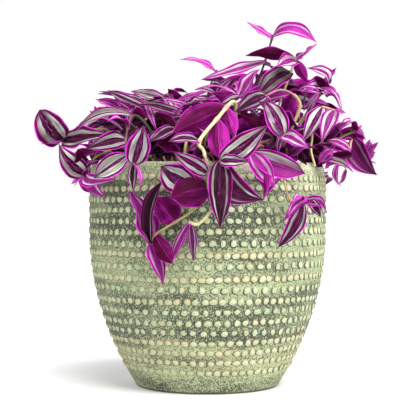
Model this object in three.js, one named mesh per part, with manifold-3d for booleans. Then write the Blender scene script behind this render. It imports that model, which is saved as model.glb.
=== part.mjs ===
// A potted trailing tradescantia: a stoneware pot with a hobnail wall, its soil, and leafy stems
// that rise from plain holes in the soil and trail over the rim.
// Millimetres, +Z up, the front of the pot towards -Y, the origin at the centre of the pot's base.
import * as THREE from 'three';
import { mergeVertices } from 'three/addons/utils/BufferGeometryUtils.js';
import Module from 'manifold-3d';

const wasm = await Module();
wasm.setup();

// ---------------------------------------------------------------- pot
const POT_HEIGHT = 187.5;
const POT_RADIUS = 100;          // widest outer radius, at the belly
const BASE_RADIUS = 60;          // outer radius where the wall meets the base
const BASE_EDGE = 1.5;           // rounding of the base edge
const BELLY_START = 130;         // height at which the wall reaches its widest radius
const BELLY_END = 165;           // height at which it begins to close again
const SHOULDER_HEIGHT = 179;
const SHOULDER_RADIUS = 99.5;
const LIP_RADIUS = 95.5;         // outer edge of the flat top of the lip
const WALL = 8;                  // wall thickness
const FLOOR = 10;                // thickness of the floor
const STUD_ROWS = 9;             // rows of raised studs, larger than life
const STUDS_AROUND = 30;
const STUD_RISE = 1.5;
const STUDS_FROM = 16;           // height of the lowest edge of the studded band
const STUDS_TO = 177;

// ---------------------------------------------------------------- soil and roots
const TOUCH_GAP = 0.3;           // gap between pieces that touch
const SOIL_EDGE = 175;           // height of the soil at the wall
const SOIL_MIDDLE = 180;          // height of the soil at the middle
const ROOT_DEPTH = 158;          // height at which every stem ends in the soil
const HOLE_SLACK = 2.2;          // how much wider a root's hole is than its stem, each side
const HOLE_SIDES = 5;
const SOIL_SIDES = 15;

// ---------------------------------------------------------------- stems and leaves
const STEM_SIDES = 3;
const STEPS_PER_POINT = 2;       // tube steps from each point of a route to the next
const BLADE_THICK = 1.4;         // thickness of a blade at its midrib
const BLADE_SINK = 0.9;          // how far a blade starts behind the middle of its stem
const FOLD = 0.34;               // how far a blade's edges rise above its midrib, by half width
const LEAF_GAP = 0.35;           // least gap between the blades of different stems
const SISTER_GAP = 3;            // blades of one stem may meet where their bases are this near
const WALL_GAP = 0.8;            // least gap between a blade and the pot or soil
const STATIONS = [0.08, 0.36, 0.72];         // where a blade has a cross-section, base to tip
const NARROW_STATIONS = [0.12, 0.55];        // the same on the youngest, narrow leaves
const NARROW = 7.5;

// Places on the front stems are noted as an eye in front of the pot sees them: u to the right of the
// pot's axis, v above its base, both at the scale of the axis, and y, the true depth.
const EYE_DISTANCE = 1078;
const EYE_HEIGHT = 157;

// How a leaf may bend to clear its neighbours: towards the side it faces, and sideways, as shares
// of its length, tried in this order.
const BENDS = [
  [0, 0], [0.12, 0], [-0.12, 0], [0.25, 0], [-0.25, 0], [0.4, 0], [-0.4, 0], [0, 0.16], [0, -0.16],
  [0.25, 0.16], [0.25, -0.16], [-0.25, 0.16], [-0.25, -0.16], [0.6, 0], [-0.6, 0], [0.4, 0.3],
  [0.4, -0.3], [-0.4, 0.3], [-0.4, -0.3], [0.9, 0], [-0.9, 0],
];
const SIZES = [1, 0.8, 0.6];     // a leaf that clears nothing at full size grows smaller

// The stems that the front shows. root: where it stands in the soil. path: its route above the soil,
// as seen from the front. leaves: [point of the route it grows from, tip u, v, y, width, roll, arch].
// roll turns the upper side from the eye (0) to the sky (90) to away from the eye (180).
const FRONT_STEMS = [
  { name: 'stem_left_far', root: [-50, -16], radius: 1.5,
    path: [[-70, 212, -14], [-98, 217, -14], [-127, 207, -18]],
    leaves: [
      [2, -143, 233, -40, 29, 0, 0.1],
      [2, -141, 205.6, -30, 7, 20, 0.05],
      [2, -84, 215, -46, 17, 35, 0.08],
    ] },
  { name: 'stem_left_low', root: [-58, -34], radius: 1.5,
    path: [[-76, 198, -40], [-95, 194, -46], [-105, 176, -50]],
    leaves: [
      [2, -128, 203, -66, 18, 10, 0.08],
      [2, -116, 170, -56, 6, 20, 0.05],
      [2, -88, 158.7, -66, 12, 15, 0.1],
      [2, -77, 176.6, -82, 12, 30, 0.1],
      [2, -94, 191, -64, 9, 60, 0.1],
    ] },
  { name: 'stem_left_front', root: [-34, -46], radius: 1.5,
    path: [[-50, 218, -50], [-64, 229, -58], [-70, 208, -74], [-69, 195, -90], [-62, 187, -97]],
    leaves: [
      [1, -112, 217, -66, 18, 40, 0.12],
      [2, -103, 199, -90, 17, 5, 0.1],
      [3, -97, 176.6, -86, 18, 0, 0.1],
      [4, -54, 220.5, -102, 18, 0, 0.06],
      [4, -63, 165, -103, 8, 20, -0.15],
      [4, -57, 168, -104, 5, 60, 0.1],
      [1.5, -93, 229, -82, 7, 80, 0.1],
    ] },
  { name: 'stem_left_ridge', root: [-26, -8], radius: 1.4,
    path: [[-32, 222, -10], [-38, 243, -12], [-55, 240, -16], [-77, 236, -14]],
    leaves: [
      [2, -93, 249, -22, 15, 60, 0.08],
      [3, -95, 244, -10, 10, 50, -0.1],
      [1, -65, 250, 2, 13, 60, 0.08],
      [2, -73, 233, -34, 11, 20, 0.1],
      [2, -69, 214, -46, 13, 20, 0.1],
      [1.5, -13, 236, -36, 10, 72, 0.12],
    ] },
  { name: 'stem_left_back', root: [-40, 18], radius: 1.5,
    path: [[-62, 220, 18], [-84, 224, 14], [-95, 228, 8]],
    leaves: [
      [2, -96, 238, 10, 4, 0, 0],
      [2, -101, 233, 4, 3.5, 0, 0],
      [2, -77, 231, -8, 9, 60, 0.1],
      [1, -110, 211, 34, 18, 20, 0.15],
      [1, -92, 198, 42, 18, 20, 0.15],
      [0.5, -70, 236, 44, 17, 0, 0.1],
    ] },
  { name: 'stem_top_left', root: [-6, 20], radius: 1.2,
    path: [[-4, 222, 16], [1, 250, 10], [8, 268, 6]],
    leaves: [
      [2, -23, 278, 0, 12, 50, 0.2],
      [1, 21, 261, -6, 8, 20, 0.1],
      [0.5, -30, 238, 14, 14, 30, 0.1],
    ] },
  { name: 'stem_ridge', root: [-12, -4], radius: 1.3,
    path: [[-16, 220, -8], [-22, 242, -14]],
    leaves: [
      [1, -34, 252, -20, 8, 150, 0.05],
      [1, -2, 250, -20, 8, 60, 0.05],
      [1, 3, 243, -30, 8, 40, 0.1],
      [0.5, -45, 232, -30, 13, 180, 0.1],
      [0, -52, 206, -26, 16, 150, 0.1],
      [0, 12, 200, -34, 16, 170, 0.1],
    ] },
  { name: 'stem_top_tall', root: [22, 10], radius: 1.4,
    path: [[30, 222, 6], [40, 250, 2], [49, 275, -2], [56, 298, -4]],
    leaves: [
      [3, 34, 309, -10, 12, 45, 0.03],
      [3, 92.6, 292.7, -14, 14, 20, 0.36],
      [2, -5.5, 259.4, -16, 15, 40, 0.05],
      [1, 70, 262, 34, 16, 30, 0.1],
      [1, 12, 256, 36, 16, 30, 0.1],
    ] },
  { name: 'stem_top_right', root: [38, -6], radius: 1.5,
    path: [[54, 220, -8], [66, 252, -12], [76, 279, -16]],
    leaves: [
      [2, 92.6, 291.6, -18, 9, 70, 0],
      [2, 59, 269.7, -30, 12, 20, 0.1],
      [2, 33, 280, -8, 14, 140, 0.15],
      [1.5, 44.8, 246, -38, 18, 10, 0.08],
      [2, 85, 258, -20, 14, 180, 0.05],
    ] },
  { name: 'stem_right_top', root: [50, 6], radius: 1.4,
    path: [[74, 214, 4], [90, 238, 0], [103, 256, -4]],
    leaves: [
      [2, 83, 269, -14, 12, 40, 0.35],
      [2, 110, 270, -4, 6, 50, 0],
      [2, 84, 258, -18, 8, 140, 0.1],
      [1.5, 73, 246.6, -26, 11, 40, 0.2],
      [2, 107, 246, -16, 10, 170, 0.05],
      [1.5, 83, 233, -22, 6, 75, 0.3],
      [2, 113, 237, -22, 8, 50, 0.05],
      [1.5, 103, 247, -28, 7, 30, 0.1],
      [1, 74, 236, 34, 16, 30, 0.15],
    ] },
  { name: 'stem_right_pair', root: [46, -24], radius: 1.5,
    path: [[70, 212, -30], [86, 231, -34], [98, 236, -40], [109, 233, -44]],
    leaves: [
      [2, 82.4, 206.5, -60, 16, 20, 0.08],
      [3, 94.3, 202.2, -62, 15, 10, 0.08],
      [3, 118, 232, -46, 4, 0, 0],
      [1, 92, 244, -46, 8, 30, 0.1],
    ] },
  { name: 'stem_right_curled', root: [62, -8], radius: 1.4,
    path: [[84, 203, -14], [105, 207, -18], [119, 213, -22], [126, 216, -22]],
    leaves: [
      [3, 112, 216, -34, 11, 60, 0.45],
      [3, 109, 211, -14, 10, 180, 0.1],
      [3, 130, 206, -30, 10, 150, 0.1],
      [3, 132, 221, -24, 3.5, 0, 0],
      [3, 134, 209, -22, 3, 0, 0],
      [1, 104, 214, 20, 15, 20, 0.15],
    ] },
  { name: 'stem_right_low', root: [64, -30], radius: 1.4,
    path: [[82, 198, -36], [98, 191, -42], [113, 192, -42], [121, 199, -38], [123, 208, -32],
      [130, 206, -28], [136, 197, -26]],
    leaves: [
      [4, 144.7, 178.4, -34, 22, 0, 0.05],
      [2, 100, 184, -58, 8, 140, 0.1],
      [1.5, 123, 181, -52, 9, 130, 0.1],
      [2, 114, 169, -50, 5, 30, -0.3],
      [4, 103, 195.5, -50, 8, 75, 0.15],
      [6, 139, 209, -26, 5, 10, 0],
      [6, 146, 206, -32, 5, 10, 0],
      [6, 143, 198, -22, 5, 170, 0],
    ] },
  { name: 'stem_silver', root: [30, -50], radius: 1.4,
    path: [[43, 203, -62], [56, 209, -70], [66, 212, -76]],
    leaves: [
      [2, 49, 243, -70, 17, 0, 0.06],
      [2, 85, 202, -94, 13, 25, 0.12],
      [2, 44, 232, -60, 10, 60, 0.1],
      [2, 61, 198, -88, 6, 40, 0.05],
    ] },
  { name: 'stem_tan', root: [50, -32], radius: 1.9,
    path: [[64, 203, -44], [71, 217, -50], [79, 237, -50], [73, 247, -46], [62, 251, -44],
      [48, 245, -46]],
    leaves: [
      [3, 62, 217, -34, 13, 180, 0.05],
      [0, 36, 212, -72, 15, 20, 0.1],
      [0, 84, 190, -72, 15, 160, 0.1],
      [5, 25, 232, -58, 15, 20, 0.1],
    ] },
  { name: 'stem_pink', root: [8, -20], radius: 1.3,
    path: [[16, 214, -30], [23, 234, -36], [28, 246, -38]],
    leaves: [
      [2, 43, 269.7, -34, 12, 30, 0.05],
      [2, 5, 249, -28, 13, 180, 0.05],
      [2, 10, 237, -48, 10, 10, 0.1],
      [2, 24, 259, -34, 4, 20, 0],
      [2, -11, 251, -36, 9, 65, 0.15],
      [0, -12, 222, -50, 16, 160, 0.1],
      [0, 42, 218, -52, 16, 170, 0.1],
    ] },
  { name: 'stem_cream', root: [20, -36], radius: 1.7,
    path: [[24, 226, -52], [22, 241, -62], [8, 226, -84], [-7, 207, -99], [-3, 198, -104],
      [0, 180, -110], [1, 168, -111], [4.7, 152, -111], [-7, 137, -109], [-16, 138, -108]],
    leaves: [
      [1.5, -29.4, 216, -94, 20, 165, 0.1],
      [2, 11.5, 192, -108, 17, 180, 0.1],
      [1.5, 22, 211, -88, 13, 180, 0.05],
      [3, -33.7, 206, -117, 10, 40, 0.1],
      [5, -28.6, 197.6, -128, 15, 0, 0.08],
      [6, -34.5, 156.5, -128, 22, 180, 0.08],
      [9, -32, 100.6, -108, 7, 20, 0.05],
      [9, -13, 104, -110, 7, 20, 0.05],
    ] },
  { name: 'stem_trailing', root: [-16, -58], radius: 1.4,
    path: [[-18, 206, -84], [-19, 192, -105], [-12, 170, -108], [-8, 154, -108], [-17, 145, -107],
      [-28, 138, -106], [-36, 133, -104], [-45, 127, -101], [-48.5, 118, -99]],
    leaves: [
      [5, -47, 160, -108, 19, 170, 0.06],
      [2, -39.7, 188, -114, 17, 0, 0.06],
      [8, -42.3, 172.8, -116, 11, 20, 0.1],
      [8, -67.5, 165, -98, 9, 75, 0.03],
      [8, -36.3, 83.6, -106, 10, 15, 0.08],
      [7, -38, 99, -108, 14, 180, 0.05],
    ] },
  { name: 'stem_centre', root: [30, -62], radius: 1.6,
    path: [[28, 206, -82], [20, 202, -102], [10, 189, -115]],
    leaves: [
      [2, 50.8, 221.8, -126, 18, 0, 0.06],
      [2, 36.3, 190, -130, 10, 15, 0.12],
      [2, 12, 133, -120, 20, 0, 0.05],
      [2, 43, 153, -118, 19, 5, 0.1],
    ] },
  { name: 'stem_centre_right', root: [46, -54], radius: 1.5,
    path: [[47, 202, -76], [41, 201, -96], [36.5, 196, -107]],
    leaves: [
      [2, 83.5, 181, -94, 17, 0, 0.08],
      [2, 52.5, 163, -114, 12, 160, 0.1],
      [2, 56, 167, -104, 15, 0, 0.08],
    ] },
  { name: 'stem_sprig', root: [62, -46], radius: 1.1,
    path: [[67, 200, -64], [68, 192, -82], [65, 177, -91], [69.5, 158, -91], [73, 154.6, -89],
      [82, 155.4, -85]],
    leaves: [
      [2, 47, 156.5, -104, 9, 80, 0.05],
      [5, 65.5, 139, -95, 7, 30, 0.05],
      [5, 61, 117, -95, 14, 20, 0.1],
      [5, 102, 154, -80, 12, 20, 0.1],
      [5, 72, 152, -98, 6, 60, 0.4],
      [5, 87, 160, -86, 3.5, 0, 0],
    ] },
  { name: 'stem_front_left', root: [-14, -36], radius: 1.3,
    path: [[-22, 208, -52], [-30, 219, -64]],
    leaves: [
      [1, -49, 206.5, -86, 10, 20, 0.1],
      [1, -44, 232, -62, 13, 150, 0.1],
      [0.5, -40, 200, -80, 15, 180, 0.1],
      [0, -58, 196, -64, 16, 20, 0.1],
      [0, 4, 205, -74, 16, 150, 0.1],
    ] },
];

// The stems that fill the middle and hang over the back and sides, by rule.
// [azimuth of the root and of the reach in degrees, root radius, reach, height of the arch, drop]
const FILL_SEED = 20260;
const FILL_STEMS = [
  [18, 60, 104, 220, 26], [34, 56, 128, 214, 40], [52, 66, 120, 210, 44], [70, 52, 128, 226, 42],
  [88, 64, 126, 212, 52], [106, 54, 124, 230, 38], [124, 66, 128, 212, 46], [142, 52, 122, 220, 40],
  [156, 58, 106, 222, 24], [30, 30, 84, 246, 8], [76, 26, 78, 262, 6], [118, 30, 84, 250, 8],
  [165, 24, 66, 240, 6], [250, 30, 62, 226, 4], [318, 14, 46, 236, 4], [218, 34, 70, 228, 6],
  [322, 38, 76, 224, 6],
];
const FILL_RADIUS = 1.4;
const FILL_NODES = [0, 0.5, 1, 1.5, 2.5, 3];   // points of the route that bear a leaf
const FILL_LENGTH = [34, 50];    // shortest and longest leaf
const FILL_ASPECT = 0.38;        // leaf width by length

// ---------------------------------------------------------------- materials
function glazedStoneware() {
  return new THREE.MeshStandardMaterial({ color: 0xb7c595, roughness: 0.85, metalness: 0 });
}

function pottingSoil() {
  return new THREE.MeshStandardMaterial({ color: 0x4a382a, roughness: 1, metalness: 0 });
}

function stripedLeaf() {
  return new THREE.MeshStandardMaterial({ color: 0x8e2f86, roughness: 0.5, metalness: 0 });
}

// ---------------------------------------------------------------- solids
function solidOf(geometry) {
  const bare = geometry.index ? geometry.toNonIndexed() : geometry.clone();
  bare.deleteAttribute('normal');
  bare.deleteAttribute('uv');
  const merged = mergeVertices(bare, 1e-4);
  return new wasm.Manifold(new wasm.Mesh({
    numProp: 3,
    vertProperties: new Float32Array(merged.attributes.position.array),
    triVerts: new Uint32Array(merged.index.array),
  }));
}

function geometryOf(solid) {
  const mesh = solid.getMesh();
  const geometry = new THREE.BufferGeometry();
  geometry.setAttribute('position', new THREE.BufferAttribute(mesh.vertProperties, 3));
  geometry.setIndex(new THREE.BufferAttribute(mesh.triVerts, 1));
  geometry.computeVertexNormals();
  return geometry;
}

function meshOf(name, geometry, material) {
  const mesh = new THREE.Mesh(geometry, material);
  mesh.name = name;
  return mesh;
}

// ---------------------------------------------------------------- pot and soil
function wallRadius(z) {
  if (z <= BELLY_START) {
    const below = 1 - z / BELLY_START;
    return BASE_RADIUS + (POT_RADIUS - BASE_RADIUS) * (1 - below * below);
  }
  if (z <= BELLY_END) {
    return POT_RADIUS;
  }
  if (z <= SHOULDER_HEIGHT) {
    const share = (z - BELLY_END) / (SHOULDER_HEIGHT - BELLY_END);
    return POT_RADIUS + (SHOULDER_RADIUS - POT_RADIUS) * share;
  }
  const turn = Math.min(1, (z - SHOULDER_HEIGHT) / (POT_HEIGHT - SHOULDER_HEIGHT));
  return LIP_RADIUS + (SHOULDER_RADIUS - LIP_RADIUS) * Math.sqrt(1 - turn * turn);
}

function innerRadius(z) {
  return wallRadius(Math.min(z, SHOULDER_HEIGHT)) - WALL;
}

// The outer wall is a grid of cells, each with its middle raised into a stud.
function potSolid() {
  const positions = [];
  const heights = [];
  for (let row = 0; row <= STUD_ROWS; row += 1) {
    heights.push(STUDS_FROM + (STUDS_TO - STUDS_FROM) * row / STUD_ROWS);
  }
  const point = (radius, z, turn) => {
    const angle = turn * 2 * Math.PI / STUDS_AROUND;
    return [radius * Math.cos(angle), radius * Math.sin(angle), z];
  };
  const quad = (a, b, c, d) => positions.push(...a, ...b, ...c, ...a, ...c, ...d);
  const ring = (lower, upper) => {
    for (let i = 0; i < STUDS_AROUND; i += 1) {
      quad(point(lower[0], lower[1], i), point(lower[0], lower[1], i + 1),
        point(upper[0], upper[1], i + 1), point(upper[0], upper[1], i));
    }
  };
  const bottom = [
    [BASE_RADIUS - BASE_EDGE, 0],
    [wallRadius(BASE_EDGE), BASE_EDGE],
    [wallRadius(heights[0]), heights[0]],
  ];
  ring(bottom[0], bottom[1]);
  ring(bottom[1], bottom[2]);
  for (let row = 0; row < STUD_ROWS; row += 1) {
    const low = heights[row];
    const high = heights[row + 1];
    const middle = (low + high) / 2;
    for (let i = 0; i < STUDS_AROUND; i += 1) {
      const corners = [point(wallRadius(low), low, i), point(wallRadius(low), low, i + 1),
        point(wallRadius(high), high, i + 1), point(wallRadius(high), high, i)];
      const peak = point(wallRadius(middle) + STUD_RISE, middle, i + 0.5);
      corners.forEach((corner, side) => {
        positions.push(...corner, ...corners[(side + 1) % 4], ...peak);
      });
    }
  }
  const lipMiddle = (SHOULDER_HEIGHT + POT_HEIGHT) / 2 + 1.5;
  const rest = [
    [wallRadius(STUDS_TO), STUDS_TO],
    [wallRadius(lipMiddle), lipMiddle],
    [LIP_RADIUS, POT_HEIGHT],
    [innerRadius(POT_HEIGHT), POT_HEIGHT],
    [innerRadius(BELLY_START), BELLY_START],
    [innerRadius(BELLY_START * 0.55), BELLY_START * 0.55],
    [innerRadius(FLOOR), FLOOR],
  ];
  for (let k = 0; k + 1 < rest.length; k += 1) {
    ring(rest[k], rest[k + 1]);
  }
  for (let i = 0; i < STUDS_AROUND; i += 1) {
    positions.push(0, 0, FLOOR, ...point(innerRadius(FLOOR), FLOOR, i),
      ...point(innerRadius(FLOOR), FLOOR, i + 1));
    positions.push(0, 0, 0, ...point(bottom[0][0], 0, i + 1), ...point(bottom[0][0], 0, i));
  }
  const geometry = new THREE.BufferGeometry();
  geometry.setAttribute('position', new THREE.Float32BufferAttribute(positions, 3));
  return solidOf(geometry);
}

function soilTop(radius) {
  const share = Math.min(1, radius / innerRadius(SOIL_EDGE));
  return SOIL_MIDDLE + (SOIL_EDGE - SOIL_MIDDLE) * share * share;
}

// The soil fills the pot to just below its rim, and each root has a plain hole in it.
function soilSolid(roots) {
  const bottom = FLOOR + TOUCH_GAP;
  const edge = (z) => innerRadius(z) - TOUCH_GAP * 2;
  const profile = [
    [0, bottom], [edge(bottom), bottom], [edge(BELLY_START * 0.55), BELLY_START * 0.55],
    [edge(BELLY_START), BELLY_START], [edge(SOIL_EDGE), SOIL_EDGE],
    [50, soilTop(50)], [0, SOIL_MIDDLE],
  ].map(([radius, z]) => new THREE.Vector2(radius, z));
  const body = new THREE.LatheGeometry(profile, SOIL_SIDES);
  body.rotateX(Math.PI / 2);
  body.rotateZ(Math.PI / 2);
  let solid = solidOf(body);
  for (const { root, radius } of roots) {
    const tall = SOIL_MIDDLE + 10 - ROOT_DEPTH;
    const hole = new THREE.CylinderGeometry(radius + HOLE_SLACK, radius + HOLE_SLACK, tall, HOLE_SIDES);
    hole.rotateX(Math.PI / 2);
    hole.translate(root[0], root[1], ROOT_DEPTH - TOUCH_GAP + tall / 2);
    solid = solid.subtract(solidOf(hole));
  }
  return solid;
}

// ---------------------------------------------------------------- stems
function seen(u, v, y) {
  const scale = (EYE_DISTANCE + y) / EYE_DISTANCE;
  return new THREE.Vector3(u * scale, y, EYE_HEIGHT + (v - EYE_HEIGHT) * scale);
}

// A small random source that gives the same draws everywhere.
function randomSource(seed) {
  let state = seed;
  return () => {
    state = (Math.imul(state, 1664525) + 1013904223) >>> 0;
    return state / 4294967296;
  };
}

// The points of a stem below its first free one: straight up out of its hole.
const ROOT_POINTS = 3;
const SHOOT_END = 0.12;          // how far a stem runs on past its last leaf, in steps of its route
const ROOT_STRAIGHT = 4;         // how far below and above the soil's surface a stem stays upright

// A smooth curve whose steps fall on its own points, so that a tube along it meets them: one step
// between its root points, and STEPS_PER_POINT from there on.
class Route extends THREE.CatmullRomCurve3 {
  get steps() {
    const rootSteps = ROOT_POINTS - 1;
    return rootSteps + (this.points.length - 1 - rootSteps) * STEPS_PER_POINT;
  }

  shareOfPoints(shareOfSteps) {
    const rootSteps = ROOT_POINTS - 1;
    const step = shareOfSteps * this.steps;
    const at = step < rootSteps ? step : rootSteps + (step - rootSteps) / STEPS_PER_POINT;
    return at / (this.points.length - 1);
  }

  getPointAt(share, target) {
    return this.getPoint(this.shareOfPoints(share), target);
  }

  getTangentAt(share, target) {
    return this.getTangent(this.shareOfPoints(share), target);
  }
}

function stemCurve(stem) {
  const [x, y] = stem.root;
  const surface = soilTop(Math.hypot(x, y));
  const points = [
    new THREE.Vector3(x, y, ROOT_DEPTH),
    new THREE.Vector3(x, y, surface - ROOT_STRAIGHT),
    new THREE.Vector3(x, y, surface + ROOT_STRAIGHT),
    ...stem.points,
  ];
  return new Route(points, false, 'catmullrom', 0.5);
}

function stemTube(stem) {
  const section = new THREE.Shape();
  for (let side = 0; side < STEM_SIDES; side += 1) {
    const angle = side * 2 * Math.PI / STEM_SIDES;
    const x = stem.radius * Math.cos(angle);
    const y = stem.radius * Math.sin(angle);
    if (side === 0) {
      section.moveTo(x, y);
    } else {
      section.lineTo(x, y);
    }
  }
  section.closePath();
  const tube = new THREE.ExtrudeGeometry(section, {
    steps: stem.curve.steps, curveSegments: 1, bevelEnabled: false, extrudePath: stem.curve,
  });
  return solidOf(tube);
}

function onStem(stem, at) {
  const last = stem.curve.points.length - 1;
  return stem.curve.getPoint(Math.min(at + ROOT_POINTS, last - SHOOT_END) / last);
}

// ---------------------------------------------------------------- leaves
function perpendicular(vector, along) {
  return vector.clone().addScaledVector(along, -vector.dot(along)).normalize();
}

// The two directions across a leaf's chord: towards what it faces, and across that, skyward.
function leafFrame(chord, face) {
  const facing = perpendicular(face, chord);
  const skyward = new THREE.Vector3().crossVectors(chord, facing);
  if (skyward.z < 0) {
    skyward.negate();
  }
  return { facing, skyward };
}

function bentTip(leaf, bend, size) {
  const reach = leaf.tip.clone().sub(leaf.base);
  const length = reach.length() * size;
  const chord = reach.normalize();
  const { facing, skyward } = leafFrame(chord, leaf.face);
  chord.addScaledVector(facing, bend[0]).addScaledVector(skyward, bend[1]).normalize();
  return leaf.base.clone().addScaledVector(chord, length);
}

function halfWidth(t) {
  return Math.pow(Math.sin(Math.PI * Math.pow(t, 0.62)), 0.8);
}

function bladePoints(leaf, bend, size) {
  const tip = bentTip(leaf, bend, size);
  const chord = tip.clone().sub(leaf.base).normalize();
  const base = leaf.base.clone().addScaledVector(chord, -BLADE_SINK);
  const length = tip.distanceTo(base);
  const { facing, skyward } = leafFrame(chord, leaf.face);
  const normal = facing.multiplyScalar(Math.cos(leaf.roll)).addScaledVector(skyward, Math.sin(leaf.roll));
  const side = new THREE.Vector3().crossVectors(chord, normal);
  const stations = leaf.width > NARROW ? STATIONS : NARROW_STATIONS;
  const rows = stations.map((t) => {
    const free = Math.max(0, (t * length - BLADE_SINK) / (length - BLADE_SINK));
    const middle = base.clone().addScaledVector(chord, length * t)
      .addScaledVector(normal, leaf.arch * length * 4 * free * (1 - free));
    const half = leaf.width * size / 2 * halfWidth(t);
    const rise = half * FOLD;
    return [
      middle.clone().addScaledVector(side, half).addScaledVector(normal, rise),
      middle.clone().addScaledVector(normal, BLADE_THICK / 2),
      middle.clone().addScaledVector(side, -half).addScaledVector(normal, rise),
      middle.clone().addScaledVector(normal, -BLADE_THICK / 2),
    ];
  });
  return { base, rows, tip };
}

function bladeSolid({ base, rows, tip }) {
  const positions = [];
  const put = (...corners) => corners.forEach((corner) => positions.push(corner.x, corner.y, corner.z));
  const last = rows.length - 1;
  for (let k = 0; k < 4; k += 1) {
    const next = (k + 1) % 4;
    put(base, rows[0][k], rows[0][next]);
    for (let row = 0; row < last; row += 1) {
      put(rows[row][k], rows[row + 1][k], rows[row + 1][next]);
      put(rows[row][k], rows[row + 1][next], rows[row][next]);
    }
    put(tip, rows[last][next], rows[last][k]);
  }
  const geometry = new THREE.BufferGeometry();
  geometry.setAttribute('position', new THREE.Float32BufferAttribute(positions, 3));
  const solid = solidOf(geometry);
  return solid;
}

// ---------------------------------------------------------------- clearance
function boxesApart(a, b, gap) {
  const first = a.boundingBox();
  const second = b.boundingBox();
  return [0, 1, 2].some((axis) => first.min[axis] > second.max[axis] + gap
    || second.min[axis] > first.max[axis] + gap);
}

function clearOf(solid, others) {
  return others.every((other) => boxesApart(solid, other, LEAF_GAP)
    || solid.minGap(other, LEAF_GAP * 2) >= LEAF_GAP);
}

function clearOfPot(rows, tip) {
  const points = [tip, ...rows.flat()];
  rows.slice(1).forEach((row, k) => {
    points.push(...row.map((corner, j) => corner.clone().lerp(rows[k][j], 0.5)));
  });
  rows[rows.length - 1].forEach((corner) => points.push(corner.clone().lerp(tip, 0.5)));
  return points.every((point) => {
    const radius = Math.hypot(point.x, point.y);
    if (point.z > POT_HEIGHT + WALL_GAP) {
      return true;
    }
    if (radius > POT_RADIUS - WALL) {
      return radius > wallRadius(Math.max(0, point.z)) + STUD_RISE + WALL_GAP;
    }
    return radius < innerRadius(point.z) - WALL_GAP && point.z > soilTop(radius) + WALL_GAP;
  });
}

function settledBlade(leaf, others) {
  for (const size of SIZES) {
    for (const bend of BENDS) {
      const shape = bladePoints(leaf, bend, size);
      if (clearOfPot(shape.rows, shape.tip)) {
        const solid = bladeSolid(shape);
        if (clearOf(solid, others)) {
          return solid;
        }
      }
    }
  }
  return null;
}

// ---------------------------------------------------------------- the plant
function frontStem(row) {
  const stem = {
    name: row.name, root: row.root, radius: row.radius,
    points: row.path.map(([u, v, y]) => seen(u, v, y)),
  };
  stem.curve = stemCurve(stem);
  stem.leaves = row.leaves.map(([at, u, v, y, width, roll, arch]) => ({
    base: onStem(stem, at), tip: seen(u, v, y), width, arch,
    roll: THREE.MathUtils.degToRad(roll), face: new THREE.Vector3(0, -1, 0),
  }));
  return stem;
}

function fillStem([azimuth, rootRadius, reach, height, drop], index, random) {
  const angle = THREE.MathUtils.degToRad(azimuth + 8 * (random() - 0.5));
  const out = new THREE.Vector3(Math.cos(angle), Math.sin(angle), 0);
  const across = new THREE.Vector3(-out.y, out.x, 0);
  const sway = 14 * (random() - 0.5);
  const up = new THREE.Vector3(0, 0, 1);
  const place = (radius, z, aside) => out.clone().multiplyScalar(radius)
    .addScaledVector(across, aside).addScaledVector(up, z);
  const surface = soilTop(rootRadius);
  const stem = {
    name: `stem_fill_${String(index + 1).padStart(2, '0')}`,
    root: [rootRadius * out.x, rootRadius * out.y],
    radius: FILL_RADIUS,
    points: [
      place(rootRadius * 0.7 + reach * 0.3, (surface + height) / 2 + 4, sway * 0.3),
      place(rootRadius * 0.4 + reach * 0.6, height, sway * 0.7),
      place(reach * 0.92, height - drop * 0.3, sway),
      place(reach, height - drop, sway * 1.2),
    ],
  };
  stem.curve = stemCurve(stem);
  stem.leaves = [];
  FILL_NODES.forEach((at, k) => {
    const base = onStem(stem, at);
    const length = FILL_LENGTH[0] + (FILL_LENGTH[1] - FILL_LENGTH[0]) * random();
    const swing = (k % 2 ? 1 : -1) * (0.5 + 0.9 * random());
    const lift = 0.5 - 0.9 * at / FILL_NODES[FILL_NODES.length - 1] + 0.5 * (random() - 0.5);
    const heading = out.clone().multiplyScalar(Math.cos(swing))
      .addScaledVector(across, Math.sin(swing)).addScaledVector(up, lift).normalize();
    stem.leaves.push({
      base, tip: base.clone().addScaledVector(heading, length), width: length * FILL_ASPECT,
      roll: 0.9 * (random() - 0.5), arch: 0.05 + 0.1 * random(),
      face: out.clone().multiplyScalar(0.7).addScaledVector(up, 0.7),
    });
  });
  return stem;
}

const random = randomSource(FILL_SEED);
const stems = [
  ...FRONT_STEMS.map(frontStem),
  ...FILL_STEMS.map((row, index) => fillStem(row, index, random)),
];
stems.forEach((stem) => {
  stem.tube = stemTube(stem);
  stem.solids = [stem.tube];
});
const leftOut = [];
stems.forEach((stem) => {
  const others = stems.filter((other) => other !== stem).flatMap((other) => other.solids);
  const own = [];
  stem.leaves.forEach((leaf, number) => {
    const sisters = own.filter((sister) => sister.base.distanceTo(leaf.base) > SISTER_GAP);
    const solid = settledBlade(leaf, [...others, ...sisters.map((sister) => sister.solid)]);
    if (solid) {
      stem.solids.push(solid);
      own.push({ base: leaf.base, solid });
    } else {
      leftOut.push(`${stem.name}/${number}`);
    }
  });
});

const plant = new THREE.Group();
plant.add(meshOf('pot', geometryOf(potSolid()), glazedStoneware()));
plant.add(meshOf('soil', geometryOf(soilSolid(stems)), pottingSoil()));
stems.forEach((stem) => {
  const fused = stem.solids.reduce((whole, solid) => whole.add(solid));
  plant.add(meshOf(stem.name, geometryOf(fused), stripedLeaf()));
});
plant.userData.leftOut = leftOut;

export default plant;
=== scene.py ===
"""A potted trailing tradescantia in a stoneware pot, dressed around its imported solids.

Metres, +Z up, the front of the pot towards -Y, the origin at the centre of the pot's base.
"""
import math
import random

import bpy
import numpy as np
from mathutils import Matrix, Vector, noise
from mathutils.kdtree import KDTree


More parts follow.
